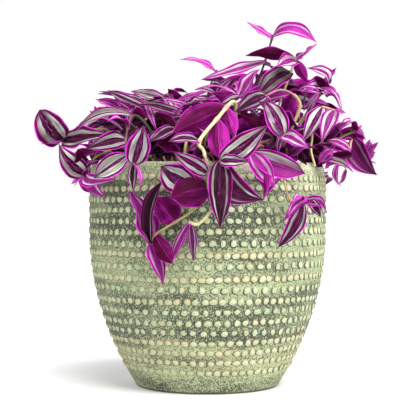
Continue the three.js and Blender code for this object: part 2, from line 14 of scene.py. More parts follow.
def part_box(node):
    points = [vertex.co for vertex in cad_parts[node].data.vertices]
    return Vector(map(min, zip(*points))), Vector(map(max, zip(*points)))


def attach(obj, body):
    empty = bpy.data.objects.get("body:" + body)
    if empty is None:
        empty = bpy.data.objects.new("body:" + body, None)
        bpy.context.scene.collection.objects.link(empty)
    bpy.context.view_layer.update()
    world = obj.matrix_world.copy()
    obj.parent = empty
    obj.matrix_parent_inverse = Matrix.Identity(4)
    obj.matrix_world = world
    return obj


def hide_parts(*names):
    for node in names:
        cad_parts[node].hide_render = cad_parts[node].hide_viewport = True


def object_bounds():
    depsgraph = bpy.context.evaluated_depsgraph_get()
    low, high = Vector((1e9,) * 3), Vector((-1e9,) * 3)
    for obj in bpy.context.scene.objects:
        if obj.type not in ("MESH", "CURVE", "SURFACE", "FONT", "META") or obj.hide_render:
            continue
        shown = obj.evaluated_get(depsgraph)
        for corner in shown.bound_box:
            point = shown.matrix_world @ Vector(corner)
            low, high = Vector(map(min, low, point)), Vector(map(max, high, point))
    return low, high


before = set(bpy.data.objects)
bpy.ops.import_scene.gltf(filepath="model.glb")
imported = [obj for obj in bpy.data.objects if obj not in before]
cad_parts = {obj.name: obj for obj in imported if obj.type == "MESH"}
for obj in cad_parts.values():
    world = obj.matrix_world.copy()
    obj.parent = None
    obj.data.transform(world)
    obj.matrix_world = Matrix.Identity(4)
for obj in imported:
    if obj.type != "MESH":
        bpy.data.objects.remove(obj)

bl_info = {
    "name": "Potted tradescantia",
    "version": (1, 0, 0),
    "blender": (4, 5, 0),
    "location": "View3D > Sidebar > Plant",
    "description": "Makes a trailing striped house plant in a dotted stoneware pot",
    "category": "Add Mesh",
}

MM = 0.001
CAD_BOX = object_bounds()
POT_LOW, POT_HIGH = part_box("pot")

# ------------------------------------------------------------------ sizes shared with the solids
# Millimetres, as in the part's source.
BASE_EDGE = 1.5
BELLY_START = 130
BELLY_END = 165
SHOULDER_HEIGHT = 179
SHOULDER_RADIUS = 99.5
LIP_RADIUS = 95.5
WALL = 8
FLOOR = 10
SOIL_EDGE = 175
SOIL_MIDDLE = 180
ROOT_DEPTH = 158
BLADE_SINK = 0.9
FOLD = 0.34
EYE_DISTANCE = 1078
EYE_HEIGHT = 157
ROOT_POINTS = 3
SHOOT_END = 0.12
ROOT_STRAIGHT = 4
BENDS = (
    (0, 0), (0.12, 0), (-0.12, 0), (0.25, 0), (-0.25, 0), (0.4, 0), (-0.4, 0), (0, 0.16), (0, -0.16),
    (0.25, 0.16), (0.25, -0.16), (-0.25, 0.16), (-0.25, -0.16), (0.6, 0), (-0.6, 0), (0.4, 0.3),
    (0.4, -0.3), (-0.4, 0.3), (-0.4, -0.3), (0.9, 0), (-0.9, 0),
)
SIZES = (1, 0.8, 0.6)
# Which way the upper sides of leaves turn: to the front, or up and away at the back.
FRONT = Vector((0, -1, 0))
OVER_THE_BACK = Vector((-0.4, 0.4, 0.8))
# How near a corner of the solid has to be to count as the tip of a leaf.
TIP_MATCH = 0.02

# The stems that the front shows. root: where it stands in the soil. path: its route above the soil,
# as seen from the front. leaves: point of the route it grows from, tip u, v, y, width, roll, arch, look.
FRONT_STEMS = (
    dict(name='stem_left_far', root=(-50, -16), radius=1.5, bark='green',
         path=((-70, 212, -14), (-98, 217, -14), (-127, 207, -18)),
         leaves=(
           (2, -143, 233, -40, 29, 0, 0.1, 'striped',
            {'widest': 0.5, 'full': 0.55, 'twist': 0, 'wide': 0.9, 'sweep': -0.06, 'hook': 0,
             'lean': -0.3}),
           (2, -141, 205.6, -30, 7, 20, 0.05, 'pink'),
           (2, -84, 215, -46, 17, 35, 0.08, 'dusky', {'wide': 1.3, 'sweep': 0.1}),
         )),
    dict(name='stem_left_low', root=(-58, -34), radius=1.5, bark='green',
         path=((-76, 198, -40), (-95, 194, -46), (-105, 176, -50)),
         leaves=(
           (2, -128, 203, -66, 18, 10, 0.08, 'striped',
            {'fold': 0.15, 'ripple': 0.04, 'twist': 0, 'sweep': -0.07}),
           (2, -116, 170, -56, 6, 20, 0.05, 'pink'),
           (2, -88, 158.7, -66, 12, 15, 0.1, 'vivid', {'wide': 1.15, 'lean': 0.6, 'sweep': 0.14}),
           (2, -77, 176.6, -82, 12, 30, 0.1, 'vivid', {'sweep': 0.2}),
           (2, -94, 191, -64, 9, 60, 0.1, 'dusky'),
         )),
    dict(name='stem_left_front', root=(-34, -46), radius=1.5, bark='dark',
         path=((-50, 218, -50), (-64, 229, -58), (-70, 208, -74), (-69, 195, -90), (-62, 187, -97)),
         leaves=(
           (1, -112, 217, -66, 18, 40, 0.12, 'olive', {'wide': 0.56, 'sweep': 0.09, 'lean': 0.4}),
           (2, -103, 199, -90, 17, 5, 0.1, 'dim', {'wide': 0.86, 'sweep': 0.05}),
           (3, -97, 176.6, -86, 18, 0, 0.1, 'olive', {'wide': 0.95}),
           (4, -54, 220.5, -102, 18, 0, 0.06, 'dim'),
           (4, -63, 165, -103, 8, 20, -0.15, 'dusky'),
           (4, -57, 168, -104, 5, 60, 0.1, 'pink'),
           (1.5, -93, 229, -82, 7, 80, 0.1, 'pink'),
         )),
    dict(name='stem_left_ridge', root=(-26, -8), radius=1.4, bark='green',
         path=((-32, 222, -10), (-38, 243, -12), (-55, 240, -16), (-77, 236, -14)),
         leaves=(
           (2, -93, 249, -22, 15, 60, 0.08, 'dark', {'sweep': -0.14, 'wide': 0.55}),
           (3, -95, 244, -10, 10, 50, -0.1, 'pink'),
           (1, -65, 250, 2, 13, 60, 0.08, 'vivid', {'sweep': -0.14, 'wide': 0.65}),
           (2, -73, 233, -34, 11, 20, 0.1, 'dusky'),
           (2, -69, 214, -46, 13, 20, 0.1, 'shadow'),
           (1.5, -13, 236, -36, 10, 72, 0.12, 'striped'),
         )),
    dict(name='stem_left_back', root=(-40, 18), radius=1.5, bark='green',
         path=((-62, 220, 18), (-84, 224, 14), (-95, 228, 8)),
         leaves=(
           (2, -96, 238, 10, 4, 0, 0, 'magenta'),
           (2, -101, 233, 4, 3.5, 0, 0, 'magenta'),
           (2, -77, 231, -8, 9, 60, 0.1, 'dusky'),
           (1, -110, 211, 34, 18, 20, 0.15, 'striped'),
           (1, -92, 198, 42, 18, 20, 0.15, 'striped'),
           (0.5, -70, 236, 44, 17, 0, 0.1, 'striped'),
         )),
    dict(name='stem_top_left', root=(-6, 20), radius=1.2, bark='dark',
         path=((-4, 222, 16), (1, 250, 10), (8, 268, 6)),
         leaves=(
           (2, -23, 278, 0, 12, 50, 0.2, 'pink', {'sweep': -0.13, 'wide': 0.75}),
           (1, 21, 261, -6, 8, 20, 0.1, 'pink'),
           (0.5, -30, 238, 14, 14, 30, 0.1, 'striped'),
         )),
    dict(name='stem_ridge', root=(-12, -4), radius=1.3, bark='green',
         path=((-16, 220, -8), (-22, 242, -14)),
         leaves=(
           (1, -34, 252, -20, 8, 150, 0.05, 'dusky'),
           (1, -2, 250, -20, 8, 60, 0.05, 'vivid'),
           (1, 3, 243, -30, 8, 40, 0.1, 'striped'),
           (0.5, -45, 232, -30, 13, 180, 0.1, 'magenta'),
           (0, -52, 206, -26, 16, 150, 0.1, 'shadow'),
           (0, 12, 200, -34, 16, 170, 0.1, 'shadow'),
         )),
    dict(name='stem_top_tall', root=(22, 10), radius=1.4, bark='dark',
         path=((30, 222, 6), (40, 250, 2), (49, 275, -2), (56, 298, -4)),
         leaves=(
           (3, 34, 309, -10, 12, 45, 0.03, 'pink', {'sweep': -0.11, 'hook': 0, 'wide': 0.72}),
           (3, 92.6, 292.7, -14, 14, 20, 0.36, 'pink',
            {'sweep': -0.06, 'hook': 0, 'wide': 0.85, 'widest': 0.55}),
           (2, -5.5, 259.4, -16, 15, 40, 0.05, 'pale', {'sweep': -0.06, 'wide': 0.76}),
           (1, 70, 262, 34, 16, 30, 0.1, 'striped'),
           (1, 12, 256, 36, 16, 30, 0.1, 'striped'),
         )),
    dict(name='stem_top_right', root=(38, -6), radius=1.5, bark='cream',
         path=((54, 220, -8), (66, 252, -12), (76, 279, -16)),
         leaves=(
           (2, 92.6, 291.6, -18, 9, 70, 0, 'magenta', {'sweep': 0.2, 'wide': 1.7}),
           (2, 59, 269.7, -30, 12, 20, 0.1, 'pale', {'wide': 1.25}),
           (2, 33, 280, -8, 14, 140, 0.05, 'deep', {'sweep': -0.04, 'wide': 0.9}),
           (1.5, 44.8, 246, -38, 18, 10, 0.08, 'grained', {'wide': 1, 'sweep': 0.07, 'widest': 0.5}),
           (2, 85, 258, -20, 14, 180, 0.05, 'magenta', {'wide': 0.7}),
         )),
    dict(name='stem_right_top', root=(50, 6), radius=1.4, bark='green',
         path=((74, 214, 4), (90, 238, 0), (103, 256, -4)),
         leaves=(
           (2, 83, 269, -14, 12, 40, 0.35, 'pale'),
           (2, 110, 270, -4, 6, 50, 0, 'magenta', {'wide': 1.6}),
           (2, 84, 258, -18, 8, 140, 0.1, 'magenta'),
           (1.5, 73, 246.6, -26, 11, 40, 0.2, 'striped'),
           (2, 107, 246, -16, 10, 170, 0.05, 'magenta'),
           (1.5, 83, 233, -22, 6, 75, 0.3, 'dusky'),
           (2, 113, 237, -22, 8, 50, 0.05, 'pale', {'long': 1.25}),
           (1.5, 103, 247, -28, 7, 30, 0.1, 'pale'),
           (1, 74, 236, 34, 16, 30, 0.15, 'striped'),
         )),
    dict(name='stem_right_pair', root=(46, -24), radius=1.5, bark='young',
         path=((70, 212, -30), (86, 231, -34), (98, 236, -40), (109, 233, -44)),
         leaves=(
           (2, 82.4, 206.5, -60, 16, 20, 0.08, 'striped', {'wide': 0.92}),
           (3, 94.3, 202.2, -62, 15, 10, 0.08, 'pale', {'wide': 0.92}),
           (3, 118, 232, -46, 4, 0, 0, 'pink'),
           (1, 92, 244, -46, 8, 30, 0.1, 'striped'),
         )),
    dict(name='stem_right_curled', root=(62, -8), radius=1.4, bark='green',
         path=((84, 203, -14), (105, 207, -18), (119, 213, -22), (126, 216, -22)),
         leaves=(
           (3, 112, 216, -34, 11, 60, 0.45, 'pale'),
           (3, 109, 211, -14, 10, 180, 0.1, 'magenta'),
           (3, 130, 206, -30, 10, 150, 0.1, 'magenta'),
           (3, 132, 221, -24, 3.5, 0, 0, 'pink'),
           (3, 134, 209, -22, 3, 0, 0, 'pink'),
           (1, 104, 214, 20, 15, 20, 0.15, 'striped'),
         )),
    dict(name='stem_right_low', root=(64, -30), radius=1.4, bark='young',
         path=((82, 198, -36), (98, 191, -42), (113, 192, -42), (121, 199, -38), (123, 208, -32),
               (130, 206, -28), (136, 197, -26)),
         leaves=(
           (4, 144.7, 178.4, -34, 22, 0, 0.05, 'wine',
            {'fold': 0.7, 'widest': 0.28, 'sweep': 0.13, 'wide': 0.9}),
           (2, 100, 184, -58, 8, 140, 0.1, 'magenta'),
           (1.5, 123, 181, -52, 9, 130, 0.1, 'magenta'),
           (2, 114, 169, -50, 5, 30, -0.3, 'pink'),
           (4, 103, 195.5, -50, 8, 75, 0.15, 'vivid'),
           (6, 139, 209, -26, 5, 10, 0, 'magenta'),
           (6, 146, 206, -32, 5, 10, 0, 'magenta'),
           (6, 143, 198, -22, 5, 170, 0, 'magenta'),
         )),
    dict(name='stem_silver', root=(30, -50), radius=1.4, bark='young',
         path=((43, 203, -62), (56, 209, -70), (66, 212, -76)),
         leaves=(
           (2, 49, 243, -70, 17, 0, 0.06, 'silver'),
           (2, 85, 202, -94, 13, 25, 0.12, 'pale'),
           (2, 44, 232, -60, 10, 60, 0.1, 'dusky'),
           (2, 61, 198, -88, 6, 40, 0.05, 'dusky'),
         )),
    dict(name='stem_tan', root=(50, -32), radius=1.9, stout=1.08, thin_from=0.74, bark='tan',
         path=((64, 203, -44), (71, 217, -50), (79, 237, -50), (73, 247, -46), (62, 251, -44),
               (48, 245, -46)),
         leaves=(
           (3, 62, 217, -34, 13, 180, 0.05, 'magenta'),
           (0, 36, 212, -72, 15, 20, 0.1, 'dusky'),
           (0, 84, 190, -72, 15, 160, 0.1, 'magenta'),
           (5, 25, 232, -58, 15, 20, 0.1, 'dusky'),
         )),
    dict(name='stem_pink', root=(8, -20), radius=1.3, bark='pinkish',
         path=((16, 214, -30), (23, 234, -36), (28, 246, -38)),
         leaves=(
           (2, 43, 269.7, -34, 12, 30, 0.05, 'vivid'),
           (2, 5, 249, -28, 13, 180, 0.05, 'magenta'),
           (2, 10, 237, -48, 10, 10, 0.1, 'striped'),
           (2, 24, 259, -34, 4, 20, 0, 'pink'),
           (2, -11, 251, -36, 9, 65, 0.15, 'pale'),
           (0, -12, 222, -50, 16, 160, 0.1, 'shadow'),
           (0, 42, 218, -52, 16, 170, 0.1, 'magenta'),
         )),
    dict(name='stem_cream', root=(20, -36), radius=1.7, stout=1.1, bark='cream', shaded=(0.61, 0.85),
         path=((24, 226, -52), (22, 241, -62), (8, 226, -84), (-7, 207, -99), (-3, 198, -104),
               (0, 180, -110), (1, 168, -111), (4.7, 152, -111), (-7, 137, -109), (-16, 138, -108)),
         leaves=(
           (1.5, -29.4, 216, -94, 20, 165, 0.1, 'ruby', {'wide': 1.12}),
           (2, 11.5, 192, -108, 17, 180, 0.1, 'magenta'),
           (1.5, 22, 211, -88, 13, 180, 0.05, 'magenta'),
           (3, -33.7, 206, -117, 10, 40, 0.1, 'dusky'),
           (5, -28.6, 197.6, -128, 15, 0, 0.08, 'dim', {'wide': 0.85}),
           (6, -34.5, 156.5, -128, 22, 180, 0.08, 'deep',
            {'fold': 0.5, 'wide': 1.2, 'widest': 0.3, 'full': 2.0}),
           (9, -32, 100.6, -108, 7, 20, 0.05, 'ruby'),
           (9, -13, 104, -110, 7, 20, 0.05, 'dusky'),
         )),
    dict(name='stem_trailing', root=(-16, -58), radius=1.4, bark='sheath',
         path=((-18, 206, -84), (-19, 192, -105), (-12, 170, -108), (-8, 154, -108),
               (-17, 145, -107), (-28, 138, -106), (-36, 133, -104), (-45, 127, -101),
               (-48.5, 118, -99)),
         leaves=(
           (5, -47, 160, -108, 19, 170, 0.06, 'ruby'),
           (2, -39.7, 188, -114, 17, 0, 0.06, 'dim', {'sweep': -0.12, 'wide': 1.35}),
           (8, -42.3, 172.8, -116, 11, 20, 0.1, 'inky',
            {'sweep': -0.07, 'hook': 0.05, 'wide': 0.98, 'fold': 0.2, 'lean': -0.9, 'full': 0.6,
             'widest': 0.5, 'twist': 0}),
           (8, -67.5, 165, -98, 9, 45, 0.03, 'ruby', {'wide': 2.6}),
           (8, -36.3, 83.6, -106, 10, 15, 0.08, 'ruby', {'widest': 0.28, 'full': 1.5, 'wide': 1.3}),
           (7, -38, 99, -108, 14, 180, 0.05, 'deep',
            {'wide': 1.7, 'long': 2.0, 'widest': 0.45, 'full': 1.4}),
         )),
    dict(name='stem_centre', root=(30, -62), radius=1.6, bark='old',
         path=((28, 206, -82), (20, 202, -102), (10, 189, -115)),
         leaves=(
           (2, 50.8, 221.8, -126, 18, 0, 0.06, 'striped'),
           (2, 36.3, 190, -130, 10, 15, 0.12, 'striped'),
           (2, 12, 133, -120, 20, 0, 0.15, 'dark', {'wide': 0.94, 'sweep': 0.02}),
           (2, 43, 153, -118, 19, 5, 0.1, 'dark',
            {'sweep': 0.17, 'hook': -0.14, 'wide': 1.15, 'widest': 0.55}),
         )),
    dict(name='stem_centre_right', root=(46, -54), radius=1.5, bark='old',
         path=((47, 202, -76), (41, 201, -96), (36.5, 196, -107)),
         leaves=(
           (2, 83.5, 181, -94, 17, 0, 0.08, 'bright', {'wide': 1.12, 'sweep': 0.04, 'lean': 0.95}),
           (2, 52.5, 163, -114, 12, 160, 0.1, 'magenta'),
           (2, 56, 167, -104, 15, 0, 0.08, 'rosy'),
         )),
    dict(name='stem_sprig', root=(62, -46), radius=1.1, bark='young',
         path=((67, 200, -64), (68, 192, -82), (65, 177, -91), (69.5, 158, -91), (73, 154.6, -89),
               (82, 155.4, -85)),
         leaves=(
           (2, 47, 156.5, -104, 9, 80, 0.05, 'magenta', {'wide': 1.5}),
           (5, 65.5, 139, -95, 7, 30, 0.05, 'magenta'),
           (5, 61, 117, -95, 14, 20, 0.1, 'dusky',
            {'sweep': -0.14, 'wide': 1, 'widest': 0.55, 'lean': 0.3}),
           (5, 102, 154, -80, 12, 20, 0.1, 'ruby',
            {'wide': 0.85, 'widest': 0.62, 'fold': 0.7, 'hook': 0.4}),
           (5, 72, 152, -98, 6, 60, 0.4, 'pink'),
           (5, 87, 160, -86, 3.5, 0, 0, 'pink'),
         )),
    dict(name='stem_front_left', root=(-14, -36), radius=1.3, bark='green',
         path=((-22, 208, -52), (-30, 219, -64)),
         leaves=(
           (1, -49, 206.5, -86, 10, 20, 0.1, 'dusky'),
           (1, -44, 232, -62, 13, 150, 0.1, 'shadow', {'wide': 0.8}),
           (0.5, -40, 200, -80, 15, 180, 0.1, 'deep'),
           (0, -58, 196, -64, 16, 20, 0.1, 'shadow'),
           (0, 4, 205, -74, 16, 150, 0.1, 'deep'),
         )),
)

# Leaves on short side twigs, which only the scene has: where each starts and ends (u, v, y), then
# width, roll, arch, look and shape.
# Leaves with the shadow look are near black and paint the shade between the leaves.
TWIG_LEAVES = {
    "stem_cream": (
        (-3.0, 199.7, -70, -14.9, 187.7, -92, 9, 20, 0.1, 'shadow'),
        (0.4, 199.7, -66, 8.1, 188.6, -86, 9, 150, 0.1, 'shadow'),
        (-6.4, 186.9, -98, -14.9, 175.8, -104, 7, 20, 0.1, 'shadow'),
        (-4.7, 198.0, -60, 5.5, 193.7, -62, 8, 20, 0.1, 'shadow'),
    ),
    "stem_sprig": (
        (84.1, 157.8, -88, 68.7, 142.5, -98, 7, 40, 0.1, 'vivid', {'twist': 1.0, 'sweep': 0.1}),
        (86.6, 157.0, -84, 96.9, 142.5, -88, 9, 20, 0.1, 'dark'),
    ),
    "stem_centre_right": (
        (70.4, 196.2, -62, 84.9, 187.7, -72, 9, 20, 0.1, 'shadow'),
        (65.3, 199.7, -58, 76.4, 188.6, -74, 9, 30, 0.1, 'ruby'),
        (79.0, 203.1, -44, 87.5, 191.1, -50, 8, 20, 0.1, 'shadow'),
        (58.5, 198.0, -66, 46.5, 192.8, -78, 8, 20, 0.1, 'shadow'),
    ),
    "stem_left_front": (
        (-61.9, 218.4, -60, -76.4, 208.2, -66, 8, 20, 0.1, 'shadow'),
        (-64.4, 215.0, -60, -49.1, 199.7, -74, 9, 150, 0.1, 'ruby'),
        (-74.7, 208.2, -60, -91.8, 199.7, -70, 7, 20, 0.1, 'shadow'),
    ),
    "stem_centre": (
        (3.8, 199.7, -76, -9.8, 191.1, -82, 9, 20, 0.1, 'shadow'),
        (7.3, 199.7, -76, 19.2, 191.1, -82, 8, 150, 0.1, 'shadow'),
        (-1.3, 203.1, -70, -16.6, 199.7, -74, 10, 30, 0.1, 'ruby'),
    ),
    "stem_left_ridge": (
        (-55.1, 241.5, -24, -92.6, 249.2, -30, 6.5, 40, 0.06, 'dark', {'sweep': -0.03}),
        (-37.1, 243.2, -14, -65.3, 250.4, -16, 8, 20, 0.05, 'olive'),
        (-72.1, 235.5, -28, -94.3, 244.0, -30, 6, 30, 0.1, 'magenta', {'twist': 1.2}),
        (-53.4, 241.5, -34, -70.4, 214.2, -56, 8, 30, 0.1, 'ruby'),
        (-53.4, 240.6, -34, -44.0, 215.9, -52, 6, 30, 0.1, 'vivid'),
        (-74.7, 237.2, -30, -81.5, 249.2, -28, 5, 30, 0.05, 'magenta'),
        (-61.0, 232.1, -36, -76.4, 241.5, -34, 7, 20, 0.1, 'vivid', {'twist': 0.6}),
    ),
    "stem_left_back": (
        (-64, 205, 40, -88, 191, 52, 13, 20, 0.12, 'striped'),
        (-60, 207, 52, -74, 194, 72, 13, 20, 0.12, 'vivid'),
        (-72, 205, 22, -99, 197, 30, 13, 20, 0.12, 'striped'),
        (-66, 209, 30, -86, 216, 44, 12, 20, 0.12, 'dusky'),
        (-55, 206, 60, -60, 198, 84, 13, 20, 0.12, 'striped'),
        (-50, 207, 66, -36, 199, 86, 12, 20, 0.12, 'vivid'),
        (-48, 208, 40, -60, 222, 56, 12, 20, 0.12, 'striped'),
        (-70, 207, 12, -84, 196, 4, 11, 20, 0.12, 'dusky'),
        (-80, 201, 18, -99, 181, 26, 13, 20, 0.15, 'striped'),
        (-78, 201, 34, -96, 182, 50, 13, 20, 0.15, 'dusky'),
        (-70, 202, 56, -83, 183, 76, 13, 20, 0.15, 'vivid'),
        (-71.3, 215.0, -50, -94.3, 228.7, -54, 3, 50, 0.15, 'pale'),
        (-91.8, 227.0, 4, -96.9, 237.2, 2, 3, 10, 0, 'magenta'),
    ),
    "stem_ridge": (
        (-14.1, 236.4, -26, -48.2, 242.3, -30, 5.5, 40, 0.05, 'pale'),
        (-25.2, 242.3, -20, -1.3, 249.2, -22, 5, 40, 0.05, 'magenta'),
        (-29.4, 241.5, -16, -33.7, 251.7, -16, 4, 10, 0.05, 'ruby'),
        (-26.9, 224.4, -40, -40.5, 232.1, -42, 9, 30, 0.1, 'ruby'),
        (-18.4, 232.1, -34, -30.3, 238.9, -34, 7, 30, 0.1, 'vivid'),
    ),
    "stem_front_left": (
        (-49.9, 206.5, -62, -29.4, 218.4, -66, 7, 30, 0.08, 'striped'),
        (-33.7, 218.4, -50, -23.5, 235.5, -48, 9, 20, 0.1, 'ruby'),
        (-40.5, 208.2, -56, -22.6, 192.0, -72, 10, 150, 0.1, 'shadow'),
        (-25.2, 208.2, -52, -3.8, 193.7, -70, 11, 150, 0.1, 'shadow'),
        (-49.1, 198.0, -62, -40.5, 216.7, -58, 9, 20, 0.1, 'shadow'),
    ),
    "stem_top_left": (
        (8.1, 249.2, -12, 21.8, 261.1, -14, 6, 20, 0.1, 'vivid'),
        (6.4, 247.5, -10, -10.7, 251.7, -12, 5.5, 40, 0.1, 'pale'),
        (12.4, 244.0, -14, -1.3, 242.3, -20, 7, 30, 0.1, 'magenta'),
    ),
    "stem_pink": (
        (46.5, 216.7, -62, 27.7, 232.1, -56, 11, 170, 0.08, 'grained'),
        (46.5, 249.2, -40, 34.6, 235.5, -52, 8, 20, 0.1, 'vivid'),
    ),
    "stem_silver": (
        (57.6, 212.5, -70, 44.8, 231.2, -62, 8, 160, 0.1, 'ruby'),
        (61.9, 209.9, -70, 51.6, 198.0, -80, 8, 20, 0.1, 'shadow'),
    ),
    "stem_right_top": (
        (94.3, 249.2, -22, 76.4, 250.0, -22, 7, 20, 0.35, 'vivid'),
        (94.3, 247.5, -24, 81.5, 233.0, -26, 5, 20, 0.1, 'ruby', {'twist': 0.8}),
        (90.9, 242.3, -24, 103.7, 237.2, -26, 3.5, 20, 0.1, 'ruby'),
        (97.7, 252.6, -14, 109.7, 244.0, -16, 5, 20, 0.1, 'magenta'),
    ),
    "stem_right_curled": (
        (121.6, 218.4, -22, 135.3, 209.0, -24, 6, 40, 0.1, 'ruby'),
        (104.6, 208.2, -34, 119.9, 223.6, -34, 7, 30, 0.2, 'wine'),
    ),
    "stem_right_low": (
        (121.6, 199.7, -44, 102.0, 209.0, -46, 8, 30, 0.1, 'vivid'),
        (97.7, 191.5, -46, 124.5, 181.5, -48, 8, 40, 0.1, 'olive'),
        (118.2, 182.6, -44, 114.0, 168.9, -44, 3.5, 20, 0.1, 'magenta', {'hook': 0.3}),
        (92.6, 201.4, -40, 109.7, 191.1, -44, 8, 30, 0.1, 'ruby'),
        (83.2, 192.8, -44, 98.6, 185.1, -48, 8, 150, 0.1, 'shadow'),
        (106.3, 199.7, -50, 94.3, 188.6, -56, 7, 30, 0.1, 'magenta'),
        (135.3, 192.8, -27, 145.5, 206.5, -25, 3.2, 10, 0, 'magenta'),
        (135.3, 192.8, -27, 140.4, 207.3, -27, 3.2, 10, 0, 'vivid'),
        (135.3, 191.1, -27, 143.0, 197.1, -27, 3.5, 10, 0, 'magenta'),
    ),
}
# Bare side shoots and roots: radius, bark, and the points (u, v, y) they pass.
BARE_SHOOTS = {
    "stem_right_pair": (
        (1.1, 'cream', ((86.6, 227.0, -44), (89.2, 212.5, -50), (88.3, 199.7, -54), (91.8, 186.0, -54))),
    ),
    "stem_tan": (
        (1.4, 'tan', ((68.7, 194.5, -50), (73.0, 203.1, -50), (79.0, 213.3, -50))),
    ),
    "stem_centre": (
        (0.5, 'old', ((-2.1, 201.4, -78), (3.8, 194.5, -84), (7.3, 186.0, -92))),
        (0.5, 'old', ((3.8, 201.4, -76), (0.4, 192.8, -84), (4.7, 182.6, -96))),
        (0.4, 'tan', ((7.3, 199.7, -80), (-2.1, 194.5, -84), (-4.7, 186.0, -92))),
    ),
    "stem_cream": (
        (0.5, 'dark', ((-7.3, 188.6, -96), (-3.0, 182.6, -103), (-5.5, 174.1, -103))),
        (0.5, 'old', ((-4.7, 199.7, -80), (4.7, 192.8, -94), (3.0, 179.2, -103))),
        (0.5, 'old', ((-3.0, 203.1, -76), (-1.3, 194.5, -90), (8.1, 184.3, -102))),
        (0.7, 'tan', ((12.4, 230.4, -66), (11.5, 220.1, -66), (14.1, 208.2, -70))),
    ),
}
TWIG_RADIUS = 0.6

FILL_SEED = 20260
# azimuth in degrees, root radius, reach, height of the arch, drop
FILL_STEMS = (
    (18, 60, 104, 220, 26), (34, 56, 128, 214, 40), (52, 66, 120, 210, 44), (70, 52, 128, 226, 42),
    (88, 64, 126, 212, 52), (106, 54, 124, 230, 38), (124, 66, 128, 212, 46), (142, 52, 122, 220, 40),
    (156, 58, 106, 222, 24), (30, 30, 84, 246, 8), (76, 26, 78, 262, 6), (118, 30, 84, 250, 8),
    (165, 24, 66, 240, 6), (250, 30, 62, 226, 4), (318, 14, 46, 236, 4), (218, 34, 70, 228, 6),
    (322, 38, 76, 224, 6),
)
FILL_RADIUS = 1.4
# Shapes of single leaves of the stems above, by stem and leaf.
RESHAPED = {
    ("stem_fill_02", 4): {"wide": 0.6},
    ("stem_fill_08", 5): {"wide": 0.8, "long": 0.75},
    ("stem_fill_11", 1): {"wide": 0.5, "long": 0.75},
    ("stem_fill_11", 2): {"wide": 0.6, "long": 0.75},
    ("stem_fill_11", 3): {"wide": 0.55, "long": 0.6},
    ("stem_fill_12", 2): {"wide": 0.5, "long": 0.75},
    ("stem_fill_12", 3): {"wide": 0.5},
    ("stem_fill_14", 0): {"look": "shadow"},
    ("stem_fill_14", 2): {"wide": 0.55, "look": "dusky"},
    ("stem_fill_14", 3): {"wide": 0.7},
    ("stem_fill_16", 1): {"wide": 0.5, "sweep": -0.16, "fold": 0.6},
    ("stem_fill_16", 2): {"wide": 0.8, "look": "shadow"},
    ("stem_pink", 4): {"wide": 0.55},
    ("stem_right_pair", 3): {"wide": 0.6},
    ("stem_top_tall", 4): {"wide": 0.4, "long": 0.8},
}
# Small inner leaves on the lower joints of every stem, which only the scene has.
INNER_SEED = 515
INNER_STEP = 0.30
# Where they stop, in millimetres: leaves nearer the front than INNER_FRONT stay behind INNER_REACH
# and below INNER_TOP, and those nearer than INNER_MIDDLE stay below INNER_CROWN.
INNER_FRONT = -52
INNER_REACH = -82
INNER_TOP = 203
INNER_MIDDLE = -28
INNER_CROWN = 222
INNER_OVER_RIM = 192
INNER_MARGIN = 6
INNER_LENGTH = (20, 36)
# Mostly dark looks, which paint the shade inside the plant.
INNER_LOOKS = ("shadow", "dusky", "shadow", "deep", "magenta", "shadow", "dark", "deep")
# The plant's outline as the front shows it: u and the height v that inner leaves stay below.
SKYLINE = (
    (-126, 190), (-112, 205), (-100, 226), (-84, 236), (-20, 243), (0, 250), (20, 262), (60, 272),
    (90, 262), (104, 240), (118, 226), (130, 205),
)
# Gaps that show the sky: u, v and radius.
SKY_GAPS = (
    (84.1, 233.8, 7.7), (27.7, 262.0, 6.0), (101.2, 244.0, 4.3), (119.9, 205.6, 4.3),
    (12.4, 259.4, 4.3),
)
GAP_MARGIN = 3
FILL_NODES = (0, 0.5, 1, 1.5, 2.5, 3)
FILL_LENGTH = (34, 50)
FILL_ASPECT = 0.38
FILL_LOOKS = ("striped", "dusky", "striped", "vivid", "striped", "dusky", "silver", "magenta")
FILL_BARKS = ("green", "young", "tan", "green")

# ------------------------------------------------------------------ looks of leaves and stems
# Strength of the silver stripes, warmth towards magenta, depth of shade, and olive in the stripes.
LEAF_LOOKS = {
    "striped": (1.00, 0.05, 0.05, 0.42),
    "silver": (1.00, 0.05, 0.00, 0.50),
    "olive": (1.00, 0.05, 0.05, 0.95),
    "dark": (0.95, 0.02, 0.50, 0.00),
    "dusky": (0.75, 0.05, 0.40, 0.30),
    "pale": (1.00, 0.38, 0.00, 0.35),
    "vivid": (0.95, 0.55, 0.05, 0.10),
    "bright": (0.85, 0.22, 0.12, 1.00),
    "magenta": (0.40, 0.65, 0.15, 0.00),
    "pink": (0.90, 0.95, 0.00, 0.00),
    "deep": (0.40, 0.25, 0.60, 0.10),
    "ruby": (0.40, 0.45, 0.30, 0.10),
    "shadow": (0.30, 0.00, 1.00, 0.10),
    "grained": (0.55, 0.08, 0.45, 0.80),
    "inky": (1.00, 0.00, 0.90, 0.00),
    "dim": (0.90, 0.05, 0.30, 0.50),
    "rosy": (0.55, 0.60, 0.05, 0.15),
    "wine": (0.15, 0.25, 0.45, 0.00),
}
BARK_TINTS = {
    "green": (0.24, 0.23, 0.07),
    "young": (0.46, 0.34, 0.13),
    "cream": (0.66, 0.60, 0.29),
    "tan": (0.37, 0.26, 0.13),
    "sheath": (0.36, 0.30, 0.11),
    "old": (0.25, 0.12, 0.05),
    "dark": (0.045, 0.05, 0.025),
    "pinkish": (0.34, 0.07, 0.15),
}

# Dark bands of the glaze, in metres up the pot: where each starts, is whole, fades and ends.
UPPER_BAND = (0.122, 0.150, 0.180, 0.205)
LOWER_BAND = (0.050, 0.068, 0.088, 0.106)
